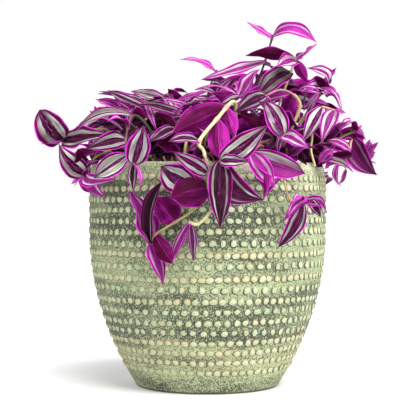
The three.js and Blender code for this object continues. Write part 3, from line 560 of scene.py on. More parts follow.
# The dark foot, from where it ends down to where it is whole.
FOOT_BAND = (0.034, 0.022)
FOOT_SAGE = (0.43, 0.46, 0.235)
# Painted shadow of the leaves on the upper left of the pot, mixed with brown dirt: on the wall, then on
# the dots.
SHADOW_AND_STAIN = (0.15, 0.13, 0.08)
DOT_SHADOW_AND_STAIN = (0.25, 0.21, 0.15)
WARM_DOT = (0.50, 0.48, 0.27)
PALE_GRAINS = (0.52, 0.56, 0.37)
WORN_RIM = (0.58, 0.52, 0.39)
BARE_FOOT = (0.10, 0.055, 0.03)
FIBRE = (0.24, 0.15, 0.08)
GRIT = (0.45, 0.41, 0.34)
PINK_STRIPE = (0.80, 0.30, 0.74)
UPPER_SHADE = (0.008, 0.0003, 0.003)
UNDER_SHADE = (0.012, 0.0003, 0.006)
SKIN_FLECK = (0.13, 0.06, 0.03)
SKIN_BLUSH = (0.34, 0.09, 0.17)
JOINT_RED = (0.30, 0.04, 0.13)
# What the tint of a stem is multiplied by on its shaded part.
SKIN_SHADE = (0.36, 0.30, 0.34, 1)

# ------------------------------------------------------------------ finer shapes of the scene
LEAF_ALONG = 26
LEAF_ACROSS = 10
TUBE_SIDES = 12
TUBE_STEPS = 72
# Thickness of a stem at its root, what it loses up to its tip, and the share left on a thin part.
ROOT_TAPER = 1.12
TAPER = 0.35
THIN_PART = 0.5
TWIG_SIDES = 8
TWIG_STEPS = 14
POT_SIDES = 180
# The rows of dots, bottom to top: height in millimetres, how tightly packed (0 to 1), and how much
# bare clay shows between the dots.
DOT_ROWS = (
    (18.8, 1.0, 0.9), (27.4, 1.0, 1.0), (35.5, 1.0, 0.9), (43.6, 0.9, 0.6), (51.6, 0.1, 0.2),
    (59.7, 0.7, 0.35), (68.4, 0.1, 0.1), (76.6, 0.9, 0.5), (86.1, 0.0, 0.25), (94.9, 1.0, 0.9),
    (104.4, 0.1, 0.5), (113.8, 1.0, 1.0), (122.4, 0.0, 0.2), (131.7, 0.7, 0.35), (140.3, 0.1, 0.15),
    (148.9, 0.5, 0.25), (157.6, 0.2, 0.25), (166.3, 0.9, 0.8), (174.6, 0.9, 0.7),
)
LOOSE_PITCH = 8.5
TIGHT_PITCH = 7.0
# One dot, from its skirt in the wall to its top: radius and height, in half widths and rises.
DOT_SKIRT = 1.34
DOT_PROFILE = ((DOT_SKIRT, -0.45), (1.05, 0.25), (0.86, 0.88), (0.3, 1.02))
DOT_SIDES = 12
DOT_LOBES = ((2, 0.09), (3, 0.06))
WALL_RINGS = 90
LIP_STEPS = 14
INSIDE_RINGS = 24
# Unevenness of the thrown wall: how fine it is, and its height in millimetres.
WALL_WAVER = ((28, 0.5), (90, 0.22))
# The wall is even within this radius and below this height, and the lip is worn above the last.
BASE_FLAT = 55
FOOT_HEIGHT = 3
LIP_WORN_FROM = 184
SOIL_SIDES = 150
SOIL_RINGS = 60
SOIL_DEPTH = 30
CRUMB_SIZES = (0.6, 0.8, 1.0, 1.3, 1.9)


# ------------------------------------------------------------------ settings
def length_setting(name, description, default):
    return bpy.props.FloatProperty(
        name=name, description=description, default=default, unit="LENGTH", min=0)


def share_setting(name, description, default):
    return bpy.props.FloatProperty(
        name=name, description=description, default=default, subtype="FACTOR", min=0, max=1)


def colour_setting(name, description, default):
    return bpy.props.FloatVectorProperty(
        name=name, description=description, default=default, subtype="COLOR", size=3, min=0, max=1)


class PotSettings(bpy.types.PropertyGroup):
    """Sizes and glaze colours of the pot"""

    height: length_setting("Height", "From the base to the top of the lip", POT_HIGH.z)
    radius: length_setting("Belly radius", "Widest radius of the wall between its dots", 100 * MM)
    base_radius: length_setting("Base radius", "Radius where the wall meets the base", 60 * MM)
    dot_width: length_setting("Dot width", "Width of one raised dot", 5.3 * MM)
    dot_rise: length_setting("Dot rise", "How far a dot stands out of the wall", 0.95 * MM)
    ground: colour_setting("Ground", "Sage green glaze between the dots", (0.320, 0.375, 0.196))
    wash: colour_setting("Wash", "Grey green of the darker bands", (0.22, 0.25, 0.17))
    speckle: colour_setting("Speckle", "Dark specks in the glaze", (0.030, 0.038, 0.026))
    dot: colour_setting("Dot", "Cream green glaze on the dots", (0.460, 0.508, 0.325))
    rust: colour_setting("Rust", "Bare clay that shows between the dots", (0.31, 0.165, 0.075))


class SoilSettings(bpy.types.PropertyGroup):
    """Colours and roughness of the soil"""

    dark: colour_setting("Dark", "Moist soil", (0.018, 0.011, 0.007))
    light: colour_setting("Light", "Dry crumbs", (0.12, 0.072, 0.04))
    lump: length_setting("Lump", "Height of the surface's lumps", 1.6 * MM)
    crumbs: bpy.props.IntProperty(
        name="Crumbs", description="Loose crumbs on the soil", default=900, min=0)


class ShootSettings(bpy.types.PropertyGroup):
    """Form of the stems"""

    swelling: share_setting("Swelling", "How much thicker a stem is at its leaves", 0.45)
    slim: share_setting("Slimness", "Thickness of a stem, as a share of its plain solid", 0.78)
    node_length: length_setting("Joint length", "Length of the sheath at a leaf", 2.6 * MM)


class LeafSettings(bpy.types.PropertyGroup):
    """Thickness and colours of the leaves"""

    thickness: length_setting("Thickness", "Thickness of a blade at its midrib", 0.9 * MM)
    ripple: share_setting("Ripple", "How wavy the margins are, by half width", 0.18)
    plum: colour_setting("Plum", "Dark middle of the upper side", (0.016, 0.0006, 0.0055))
    purple: colour_setting("Purple", "Dark band along the margins", (0.098, 0.0008, 0.050))
    rim: colour_setting("Rim", "Bright edge of the upper side", (0.84, 0.055, 0.74))
    silver: colour_setting("Silver", "Stripes of the upper side", (0.82, 0.80, 0.80))
    olive: colour_setting("Olive", "Middle of the stripes", (0.30, 0.34, 0.24))
    magenta: colour_setting("Magenta", "Young leaves and undersides", (0.44, 0.018, 0.34))
    under: colour_setting("Underside", "Shaded undersides", (0.070, 0.0003, 0.026))


class StageSettings(bpy.types.PropertyGroup):
    """Floor and light"""

    floor: colour_setting("Floor", "Pale floor", (0.62, 0.62, 0.62))
    sky: bpy.props.FloatProperty(name="Sky", description="Strength of the even light", default=0.30)
    key: bpy.props.FloatProperty(
        name="Key", description="Strength of the soft light from the right", default=4.6)


# ------------------------------------------------------------------ material graphs
class Graph:
    """The node tree of one material, with short ways to add its nodes and join them."""

    def __init__(self, name, roughness):
        self.material = bpy.data.materials.new(name)
        self.material.use_nodes = True
        self.tree = self.material.node_tree
        self.shader = self.tree.nodes["Principled BSDF"]
        self.shader.inputs["Roughness"].default_value = roughness

    def give(self, socket, value):
        if isinstance(value, bpy.types.NodeSocket):
            self.tree.links.new(value, socket)
        elif socket.type == "RGBA":
            socket.default_value = (*value[:3], 1)
        else:
            socket.default_value = value

    def add(self, kind, **settings):
        node = self.tree.nodes.new("ShaderNode" + kind)
        for key, value in settings.items():
            setattr(node, key, value)
        return node

    def math(self, operation, *values):
        node = self.add("Math", operation=operation)
        for socket, value in zip(node.inputs, values):
            self.give(socket, value)
        return node.outputs[0]

    def times(self, product, *others):
        for value in others:
            product = self.math("MULTIPLY", product, value)
        return product

    def plus(self, total, *others):
        for value in others:
            total = self.math("ADD", total, value)
        return total

    def line(self, value, slope, start):
        """A straight line: slope times the value, plus start."""
        return self.math("MULTIPLY_ADD", value, slope, start)

    def mix(self, share, first, second):
        node = self.add("Mix", data_type="RGBA")
        self.give(node.inputs[0], share)
        self.give(node.inputs[6], first)
        self.give(node.inputs[7], second)
        return node.outputs[2]

    def step(self, value, low, high, top=1.0):
        """Rises smoothly from 0 at low to top at high, or falls where low is above high."""
        rising = low < high
        node = self.add("MapRange", interpolation_type="SMOOTHSTEP")
        self.give(node.inputs["Value"], value)
        node.inputs["From Min"].default_value = min(low, high)
        node.inputs["From Max"].default_value = max(low, high)
        node.inputs["To Min"].default_value = 0 if rising else top
        node.inputs["To Max"].default_value = top if rising else 0
        return node.outputs["Result"]

    def band(self, value, start, full, fade, end):
        """A soft band that is whole between full and fade."""
        return self.times(self.step(value, start, full), self.step(value, end, fade))

    def noise(self, vector, scale, detail=3.0, roughness=0.55):
        node = self.add("TexNoise")
        self.give(node.inputs["Vector"], vector)
        node.inputs["Scale"].default_value = scale
        node.inputs["Detail"].default_value = detail
        node.inputs["Roughness"].default_value = roughness
        return node.outputs["Fac"]

    def drawn(self, vector, scale, detail=3.0, roughness=0.55, shift=None):
        """Noise with a scale of its own along each axis, so that it can be drawn out."""
        node = self.add("Mapping")
        self.give(node.inputs["Vector"], vector)
        node.inputs["Scale"].default_value = scale
        if shift is not None:
            self.give(node.inputs["Location"], shift)
        return self.noise(node.outputs["Vector"], 1.0, detail, roughness)

    def places(self):
        return self.add("TexCoord").outputs["Object"]

    def attribute(self, name):
        return self.add("Attribute", attribute_name=name)

    def split(self, kind, value):
        """The parts of a colour (kind Color) or of a vector (kind XYZ)."""
        node = self.add("Separate" + kind)
        self.give(node.inputs[0], value)
        return node.outputs

    def bump(self, height, strength, distance):
        node = self.add("Bump")
        self.give(node.inputs["Height"], height)
        node.inputs["Strength"].default_value = strength
        node.inputs["Distance"].default_value = distance
        self.tree.links.new(node.outputs["Normal"], self.shader.inputs["Normal"])

    def finish(self, colour):
        self.give(self.shader.inputs["Base Color"], colour)
        return self.material


def glaze_parts(graph, settings):
    """The ground glaze of the pot: sage with cloudy bands where dark specks gather, and a painted shadow
    of the leaves, with brown dirt, on its upper left.
    """
    places = graph.places()
    axes = graph.split("XYZ", places)
    height, sideways = axes["Z"], axes["X"]
    drift = graph.line(graph.noise(places, 14), 0.034, height)
    upper = graph.times(graph.band(drift, *UPPER_BAND), graph.step(sideways, 0.085, 0.035))
    lower = graph.band(drift, *LOWER_BAND)
    foot = graph.times(graph.step(drift, *FOOT_BAND, 0.8), graph.step(sideways, 0.06, -0.01))
    bands = graph.math("MAXIMUM", graph.math("MAXIMUM", upper, lower), foot)
    cloud = graph.drawn(places, (16, 16, 70), 4, 0.6)
    gather = graph.line(bands, 0.18, graph.line(upper, 0.03, cloud))
    wash = graph.step(gather, 0.42, 0.78)
    colour = graph.mix(graph.step(height, 0.085, 0.020, 0.6), settings.ground, FOOT_SAGE)
    colour = graph.mix(graph.times(wash, 0.38), colour, settings.wash)
    # Painted shadow of the leaves, with brown dirt, darkens the upper left of the wall.
    patchy = graph.plus(graph.step(cloud, 0.34, 0.62, 0.40), 0.42)
    colour = graph.mix(graph.times(leaf_shadow_and_stain(graph, axes), patchy), colour, SHADOW_AND_STAIN)
    grain = graph.drawn(places, (800, 800, 660), 2.0, 0.75)
    level = graph.line(wash, 0.11, grain)
    specks = graph.times(graph.step(level, 0.50, 0.575), graph.line(wash, 0.30, 0.68))
    light = graph.step(graph.noise(places, 1300, 2), 0.52, 0.62)
    colour = graph.mix(graph.times(light, 0.7), colour, PALE_GRAINS)
    return colour, specks, places, axes


def leaf_shadow_and_stain(graph, axes):
    """How much painted shadow of the leaves, with brown dirt, lies on the upper left of the pot."""
    return graph.times(graph.step(axes["Z"], 0.150, 0.174), graph.step(axes["X"], 0.05, -0.02))


def wall_glaze(settings):
    graph = Graph("pot_wall_glaze", 0.8)
    colour, specks, places, axes = glaze_parts(graph, settings)
    colour = graph.mix(graph.times(specks, 0.97), colour, settings.speckle)
    patches = graph.step(graph.drawn(places, (60, 60, 160), 4), 0.35, 0.62)
    worn = graph.times(graph.step(axes["Z"], 0.156, 0.184), patches, graph.step(axes["X"], -0.02, 0.05))
    colour = graph.mix(graph.times(worn, 0.60), colour, WORN_RIM)
    foot = graph.step(axes["Z"], 0.0026, 0.0012)
    colour = graph.mix(graph.times(foot, 0.85), colour, BARE_FOOT)
    graph.bump(graph.noise(places, 620, 4), 0.6, 0.0006)
    return graph.finish(colour)


def dot_glaze(settings):
    """Cream green, with a ragged edge where the ground glaze and the bare clay come up, and a painted
    shadow on the lower left of each dot.
    """
    graph = Graph("pot_dot_glaze", 0.7)
    colour, specks, places, axes = glaze_parts(graph, settings)
    own = graph.attribute("dot")
    rim, tone, warm = graph.split("Color", own.outputs["Color"])
    # The alpha of the dot's attribute: how much painted shade each point gets, most on the lower left.
    shaded = own.outputs["Alpha"]
    body = graph.mix(graph.times(tone, 0.9), settings.dot, settings.ground)
    body = graph.mix(graph.times(warm, 0.35), body, WARM_DOT)
    body = graph.mix(graph.step(graph.noise(places, 760, 3), 0.52, 0.66, 0.5), body, settings.wash)
    # Painted shadow of the leaves, with brown dirt, on the dots of the upper left.
    body = graph.mix(graph.times(leaf_shadow_and_stain(graph, axes), 0.5), body, DOT_SHADOW_AND_STAIN)
    ragged = graph.line(graph.noise(places, 520, 3), 0.30, rim)
    # The edge ring reaches further in on the lower left, where the painted shadow lies.
    ragged = graph.line(shaded, 0.16, ragged)
    edge = graph.step(ragged, 1.02, 1.20)
    ground = graph.mix(specks, colour, settings.speckle)
    rusty = graph.times(warm, graph.step(graph.noise(places, 240, 3), 0.34, 0.58))
    clay = graph.mix(rusty, ground, settings.rust)
    # Painted shadow: the edge ring turns dark on the lower left of each dot, as light from the upper right
    # would leave it, and less so where bare clay shows.
    painted_dot_shadow = graph.times(graph.step(shaded, 0.30, 0.70, 0.85), graph.line(rusty, -0.45, 1))
    body = graph.mix(edge, body, graph.mix(painted_dot_shadow, clay, settings.speckle))
    graph.bump(graph.noise(places, 700, 3), 0.4, 0.0004)
    return graph.finish(body)


def soil_mix(settings):
    graph = Graph("soil_mix", 0.95)
    places = graph.places()
    share = graph.step(graph.noise(places, 260, 5, 0.7), 0.45, 0.75)
    colour = graph.mix(share, settings.dark, settings.light)
    fibres = graph.step(graph.drawn(places, (900, 160, 400), 2), 0.66, 0.74)
    colour = graph.mix(graph.times(fibres, 0.5), colour, FIBRE)
    graph.bump(graph.noise(places, 700, 4), 0.8, 0.0012)
    return graph.finish(colour)


def crumb_mix(settings):
    graph = Graph("soil_crumbs", 0.9)
    places = graph.places()
    tone = graph.attribute("crumb").outputs["Fac"]
    colour = graph.mix(tone, settings.dark, settings.light)
    colour = graph.mix(graph.step(tone, 0.93, 0.96), colour, GRIT)
    grain = graph.step(graph.noise(places, 900, 3), 0.3, 0.8)
    colour = graph.mix(graph.times(grain, 0.5), colour, settings.dark)
    graph.bump(graph.noise(places, 1200, 3), 0.6, 0.0005)
    return graph.finish(colour)


def leaf_parts(graph):
    """What both sides of a leaf read: place on the blade, its two shares, seed, look and olive."""
    graph.shader.inputs["Specular IOR Level"].default_value = 0.05
    places = graph.add("UVMap", uv_map="leaf").outputs[0]
    look = graph.attribute("look")
    seed = graph.attribute("seed").outputs["Vector"]
    tones = graph.split("Color", look.outputs["Color"])
    return places, graph.split("XYZ", places), seed, tones, look.outputs["Alpha"]


def leaf_upper(settings):
    """Plum with two silver stripes, magenta margins and fine lengthwise streaks."""
    graph = Graph("leaf_upper", 0.42)
    places, spot, seed, (silver, warm, depth), olive = leaf_parts(graph)
    sideways, along = spot["X"], spot["Y"]
    streaks = graph.drawn(places, (34, 2.2, 1), 4, 0.6, seed)
    fine = graph.drawn(places, (95, 5.0, 1), 2, 0.5, seed)
    sway = graph.drawn(places, (1.2, 3.0, 1), 2, shift=seed)
    # The distance from the midrib, 0 to 1, made to waver.
    offset = graph.math("ABSOLUTE", graph.line(sideways, 2, -1))
    offset = graph.plus(offset, graph.line(sway, 0.24, -0.12), graph.line(streaks, 0.20, -0.10))
    margin = graph.step(offset, 0.58, 0.72)
    rim = graph.step(offset, 0.88, 0.97)
    # The stripes, with an olive core, and weaker on the side that the leaf leans to.
    broad = graph.line(depth, -0.16, graph.line(olive, 0.24, offset))
    narrow = graph.line(olive, -0.08, offset)
    stripe = graph.times(graph.step(broad, 0.37, 0.45), graph.step(narrow, 0.69, 0.61))
    core = graph.times(graph.step(broad, 0.43, 0.52), graph.step(narrow, 0.63, 0.54))
    half = graph.line(graph.step(sideways, 0.47, 0.53), 2, -1)
    lean = graph.attribute("lean").outputs["Fac"]
    weak = graph.math("MAXIMUM", graph.times(half, lean), 0)
    stripe = graph.times(stripe, graph.math("SUBTRACT", 1, weak))
    ends = graph.times(graph.step(along, 0.00, 0.16), graph.step(along, 1.00, 0.78))
    patches = graph.drawn(places, (1.7, 1.3, 1), 2, shift=seed)
    lively = graph.times(
        graph.line(graph.step(streaks, 0.34, 0.56), 0.55, 0.45),
        graph.line(graph.step(patches, 0.36, 0.54), 0.60, 0.40),
        graph.line(graph.step(fine, 0.40, 0.54), 0.35, 0.65))
    stripe = graph.times(graph.times(stripe, ends, silver), lively)
    # The plum middle with its threads and glints, the margins and the vein.
    middle = graph.mix(graph.times(warm, 0.85), settings.plum, settings.magenta)
    threads = graph.times(graph.step(fine, 0.42, 0.66), graph.line(depth, -1.0, 0.85))
    middle = graph.mix(threads, middle, graph.mix(warm, settings.purple, settings.magenta))
    bright = graph.line(depth, -0.85, 1)
    glints = graph.times(graph.step(fine, 0.60, 0.70, 0.30), graph.times(silver, bright))
    middle = graph.mix(glints, middle, settings.silver)
    edge = graph.mix(graph.times(warm, 0.9), settings.purple, settings.magenta)
    edge = graph.mix(graph.step(streaks, 0.60, 0.42, 0.5), edge, settings.plum)
    ground = graph.mix(margin, middle, edge)
    glow = graph.mix(graph.times(warm, 2.5), settings.purple, settings.magenta)
    plain = graph.times(weak, graph.step(offset, 0.10, 0.40),
                        graph.line(graph.step(streaks, 0.60, 0.42), 0.6, 0.4))
    ground = graph.mix(plain, ground, glow)
    vein = graph.times(graph.step(offset, 0.07, 0.02), graph.line(warm, 0.6, 0.35))
    ground = graph.mix(graph.times(vein, bright), ground, settings.magenta)
    # All of it together.
    green = graph.times(core, olive, graph.line(streaks, 0.6, 0.6))
    pale = graph.mix(green, settings.silver, settings.olive)
    pale = graph.mix(graph.times(warm, 0.50), pale, PINK_STRIPE)
    colour = graph.mix(stripe, ground, pale)
    colour = graph.mix(graph.times(rim, 0.85), colour, settings.rim)
    shade = graph.times(depth, graph.line(fine, 0.4, 0.55))
    colour = graph.mix(shade, colour, UPPER_SHADE)
    graph.bump(graph.plus(streaks, fine), 0.45, 0.0008)
    return graph.finish(colour)


def leaf_under(settings):
    """Plain magenta purple with fine lengthwise veins, lighter on one half than on the other."""
    graph = Graph("leaf_under", 0.5)
    places, spot, seed, (_, warm, depth), _ = leaf_parts(graph)
    offset = graph.math("ABSOLUTE", graph.line(spot["X"], 2, -1))
    streaks = graph.drawn(places, (46, 2.4, 1), 4, 0.6, seed)
    patches = graph.drawn(places, (2.5, 3.0, 1), 2, shift=seed)
    share = graph.plus(graph.step(streaks, 0.40, 0.58, 0.65), graph.step(patches, 0.3, 0.7, 0.3),
                       graph.line(warm, 0.6, -0.45))
    share = graph.math("SUBTRACT", share, graph.times(depth, 0.45))
    share = graph.plus(share, graph.line(graph.step(offset, 0.35, 1.0), 0.45, -0.15),
                       graph.line(graph.step(spot["X"], 0.46, 0.54), 0.34, -0.17),
                       graph.step(offset, 0.06, 0.02, 0.4))
    node = graph.add("Clamp")
    graph.give(node.inputs[0], share)
    colour = graph.mix(node.outputs[0], settings.under, settings.magenta)
    colour = graph.mix(graph.times(depth, 0.5), colour, UNDER_SHADE)
    colour = graph.mix(graph.step(offset, 0.90, 0.98, 0.5), colour, settings.magenta)
    graph.bump(streaks, 0.5, 0.0008)
    return graph.finish(colour)


def stem_skin():
    """Smooth skin of a stem, in the tint of its own attribute."""
    graph = Graph("stem_skin", 0.5)
    places = graph.places()
    tint = graph.attribute("tint").outputs["Color"]
    ring = graph.attribute("joint").outputs["Fac"]
    flecks = graph.step(graph.noise(places, 500, 3), 0.45, 0.75)
    colour = graph.mix(graph.times(flecks, 0.45), tint, SKIN_FLECK)
    blush = graph.step(graph.noise(places, 70, 3), 0.52, 0.68, 0.5)
    colour = graph.mix(blush, colour, SKIN_BLUSH)
    colour = graph.mix(graph.times(ring, 0.50), colour, JOINT_RED)
    graph.bump(graph.drawn(places, (600, 600, 120), 3), 0.35, 0.0004)
    return graph.finish(colour)


# ------------------------------------------------------------------ hand tools
def nothing_selected():
    if bpy.context.object and bpy.context.object.mode != "OBJECT":
        bpy.ops.object.mode_set(mode="OBJECT")
    bpy.ops.object.select_all(action="DESELECT")


def ready(piece, name, *nodes, slot):
    """Names a finished piece and ties it to the frame."""
    piece.name = name
    piece.data.name = name
    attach(piece, "root")
    if nodes:
        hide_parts(*nodes)
    return piece


def smooth(piece, angle=40):
    nothing_selected()
    piece.select_set(True)
    bpy.context.view_layer.objects.active = piece
    bpy.ops.object.shade_smooth_by_angle(angle=math.radians(angle))


class Pattern:
    """A shape modelled once, whose points are then copied into place many times."""

    def __init__(self, piece):
        mesh = piece.data
        self.points = np.empty((len(mesh.vertices), 3))
        mesh.vertices.foreach_get("co", self.points.ravel())
        self.faces = [tuple(face.vertices) for face in mesh.polygons]
        self.slots = [face.material_index for face in mesh.polygons]
        self.corners = None
        if mesh.uv_layers:
            self.corners = np.empty((len(mesh.loops), 2))
            mesh.uv_layers[0].data.foreach_get("uv", self.corners.ravel())
        bpy.data.objects.remove(piece, do_unlink=True)

    def copies(self, name, clouds, materials, **attributes):
        """One piece of all the copies. attributes: per copy or per point values, one each."""
        size = len(self.points)
        faces = [tuple(v + size * k for v in face) for k in range(len(clouds)) for face in self.faces]
        mesh = bpy.data.meshes.new(name)
        mesh.from_pydata(np.concatenate(clouds).tolist(), [], faces)
        mesh.polygons.foreach_set("material_index", self.slots * len(clouds))
        if self.corners is not None:
            layer = mesh.uv_layers.new(name="leaf")
            layer.data.foreach_set("uv", np.tile(self.corners, (len(clouds), 1)).ravel())
        for key, values in attributes.items():
            values = np.asarray(values, dtype=float)
            if len(values) == len(clouds):
                values = np.repeat(values, size, axis=0)
            kinds = {1: ("FLOAT", "value"), 3: ("FLOAT_VECTOR", "vector"), 4: ("FLOAT_COLOR", "color")}
            kind, field = kinds[1 if values.ndim == 1 else values.shape[1]]
            mesh.attributes.new(key, kind, "POINT").data.foreach_set(field, values.ravel())
        for material in materials:
            mesh.materials.append(material)
        mesh.update()
        piece = bpy.data.objects.new(name, mesh)
        bpy.context.collection.objects.link(piece)
        return piece


# ------------------------------------------------------------------ pot and soil forms
def wall_radius(z, settings):
    """Outer radius of the wall at height z, both in millimetres."""
    base, belly = settings.base_radius / MM, settings.radius / MM
    if z <= BELLY_START:
        below = 1 - z / BELLY_START
        return base + (belly - base) * (1 - below * below)
    if z <= BELLY_END:
        return belly
    if z <= SHOULDER_HEIGHT:
        return belly + (SHOULDER_RADIUS - belly) * (z - BELLY_END) / (SHOULDER_HEIGHT - BELLY_END)
    turn = min(1, (z - SHOULDER_HEIGHT) / (settings.height / MM - SHOULDER_HEIGHT))
    return LIP_RADIUS + (SHOULDER_RADIUS - LIP_RADIUS) * math.sqrt(1 - turn * turn)


def inner_radius(z, settings):
    return wall_radius(min(z, SHOULDER_HEIGHT), settings) - WALL


def soil_top(radius, settings):
    share = min(1, radius / inner_radius(SOIL_EDGE, settings))
    return SOIL_MIDDLE + (SOIL_EDGE - SOIL_MIDDLE) * share * share


def turned(name, rings, sides):
    """A closed round shell, drawn up ring by ring from the middle of its underside."""
    nothing_selected()
    first = rings[0]
    bpy.ops.mesh.primitive_circle_add(
        vertices=sides, radius=first[0], fill_type="NOTHING", location=(0, 0, first[1]))
    piece = bpy.context.object
    bpy.ops.object.transform_apply(location=True)
    bpy.ops.object.mode_set(mode="EDIT")
    bpy.ops.mesh.select_mode(type="VERT")
    bpy.ops.mesh.select_all(action="SELECT")
    for (radius, z), (before, low) in zip(rings[1:], rings):
        bpy.ops.mesh.extrude_region_move(TRANSFORM_OT_translate={"value": (0, 0, z - low)})
        ratio = radius / before
        bpy.ops.transform.resize(value=(ratio, ratio, 1), center_override=(0, 0, 0))
    bpy.ops.mesh.merge(type="CENTER")
    bpy.ops.mesh.select_all(action="SELECT")
    bpy.ops.mesh.select_non_manifold(extend=False)
    bpy.ops.mesh.edge_face_add()
    bpy.ops.mesh.select_all(action="SELECT")
    bpy.ops.mesh.normals_make_consistent(inside=False)
    bpy.ops.object.mode_set(mode="OBJECT")
    piece.name = name
    return piece


class PLANT_OT_pot(bpy.types.Operator):
    """Turn the wall, lip and floor of the pot"""

    bl_idname = "plant.pot"
    bl_label = "Pot wall"

    def execute(self, context):
        settings = context.scene.pot_settings
        top = settings.height / MM
        outside = [(wall_radius(0, settings) - BASE_EDGE, 0), (wall_radius(0.5, settings) - 0.5, 0.4)]
        outside += [(wall_radius(z, settings), z)
                    for z in np.linspace(BASE_EDGE, SHOULDER_HEIGHT, WALL_RINGS)]
        half = (SHOULDER_RADIUS - inner_radius(SHOULDER_HEIGHT, settings)) / 2
        lip = []
        for step in range(1, LIP_STEPS + 1):
            turn = math.pi * step / LIP_STEPS
            lip.append((SHOULDER_RADIUS - half + half * math.cos(turn),
                        SHOULDER_HEIGHT + (top - SHOULDER_HEIGHT) * math.sin(turn) ** 0.6))
        inside = [(inner_radius(z, settings), z)
                  for z in np.linspace(SHOULDER_HEIGHT - 2, FLOOR, INSIDE_RINGS)]
        rings = [(radius * MM, z * MM) for radius, z in outside + lip + inside + [(4, FLOOR)]]
        piece = turned("pot_wall", rings, POT_SIDES)
        for vertex in piece.data.vertices:
            place = vertex.co
            reach = math.hypot(place.x, place.y)
            if reach > BASE_FLAT * MM and place.z > FOOT_HEIGHT * MM:
                waver = sum(noise.noise(place * fine) * rise for fine, rise in WALL_WAVER)
                place.x += place.x / reach * waver * MM
                place.y += place.y / reach * waver * MM
                if place.z > LIP_WORN_FROM * MM:
                    place.z -= abs(noise.noise(place * 40)) * 0.5 * MM
        piece.data.materials.append(wall_glaze(settings))
        smooth(piece, 50)
        ready(piece, "pot_wall", "pot", slot="pot_stoneware")
        return {"FINISHED"}


class PLANT_OT_dots(bpy.types.Operator):
    """Set the rows of raised glaze dots on the pot"""

    bl_idname = "plant.dots"
    bl_label = "Pot dots"

    def execute(self, context):
        settings = context.scene.pot_settings
        pattern = Pattern(turned("pot_dot", DOT_PROFILE, DOT_SIDES))
        x, y, z = pattern.points.T
        reach, bearing = np.hypot(x, y), np.arctan2(y, x)
        # Painted shade: 0.5 at a dot's middle, rising towards its lower left and falling towards its upper
        # right, as if lit from the upper right.
        shaded = 0.5 - 0.35 * (x + y) / DOT_SKIRT
        draw = random.Random(7)
        clouds, marks = [], []
        for height, tight, clay in DOT_ROWS:
            pitch = LOOSE_PITCH + (TIGHT_PITCH - LOOSE_PITCH) * tight
            count = round(2 * math.pi * wall_radius(height, settings) / pitch)
            start, phase = draw.random(), draw.uniform(0, 6.3)
            for k in range(count):
                angle = (k + start + draw.gauss(0, 0.06)) * 2 * math.pi / count
                lift = height + 0.45 * math.sin(2 * angle + phase) + draw.gauss(0, 0.20)
                slope = (wall_radius(lift + 1, settings) - wall_radius(lift - 1, settings)) / 2
                out = Vector((math.cos(angle), math.sin(angle), -slope)).normalized()
                aside = Vector((-math.sin(angle), math.cos(angle), 0))
                radius = wall_radius(lift, settings)
                middle = Vector((radius * math.cos(angle), radius * math.sin(angle), lift))
                wide = settings.dot_width / MM / 2 * (1 + 0.16 * tight) * draw.uniform(0.86, 1.14)
                tall = settings.dot_width / MM / 2 * draw.uniform(0.88, 1.08)
                lobes = [size * np.sin(number * bearing + draw.uniform(0, 6.3))
                         for number, size in DOT_LOBES]
                shape = reach * (1 + lobes[0] + lobes[1])
                rise = settings.dot_rise / MM * draw.uniform(0.75, 1.1)
                cloud = (np.array(middle) + np.outer(shape * np.cos(bearing) * wide, aside)
                         + np.outer(shape * np.sin(bearing) * tall, out.cross(aside))
                         + np.outer(z * rise, out))
                clouds.append(cloud * MM)
                warm = min(1, max(0, clay + draw.gauss(0, 0.25)))
                marks.append(np.column_stack((reach, np.full(len(x), draw.random()),
                                              np.full(len(x), warm), shaded)))
        piece = pattern.copies("pot_dots", clouds, [dot_glaze(settings)], dot=np.concatenate(marks))
        smooth(piece, 60)
        ready(piece, "pot_dots", "pot", slot="pot_stoneware")
        return {"FINISHED"}


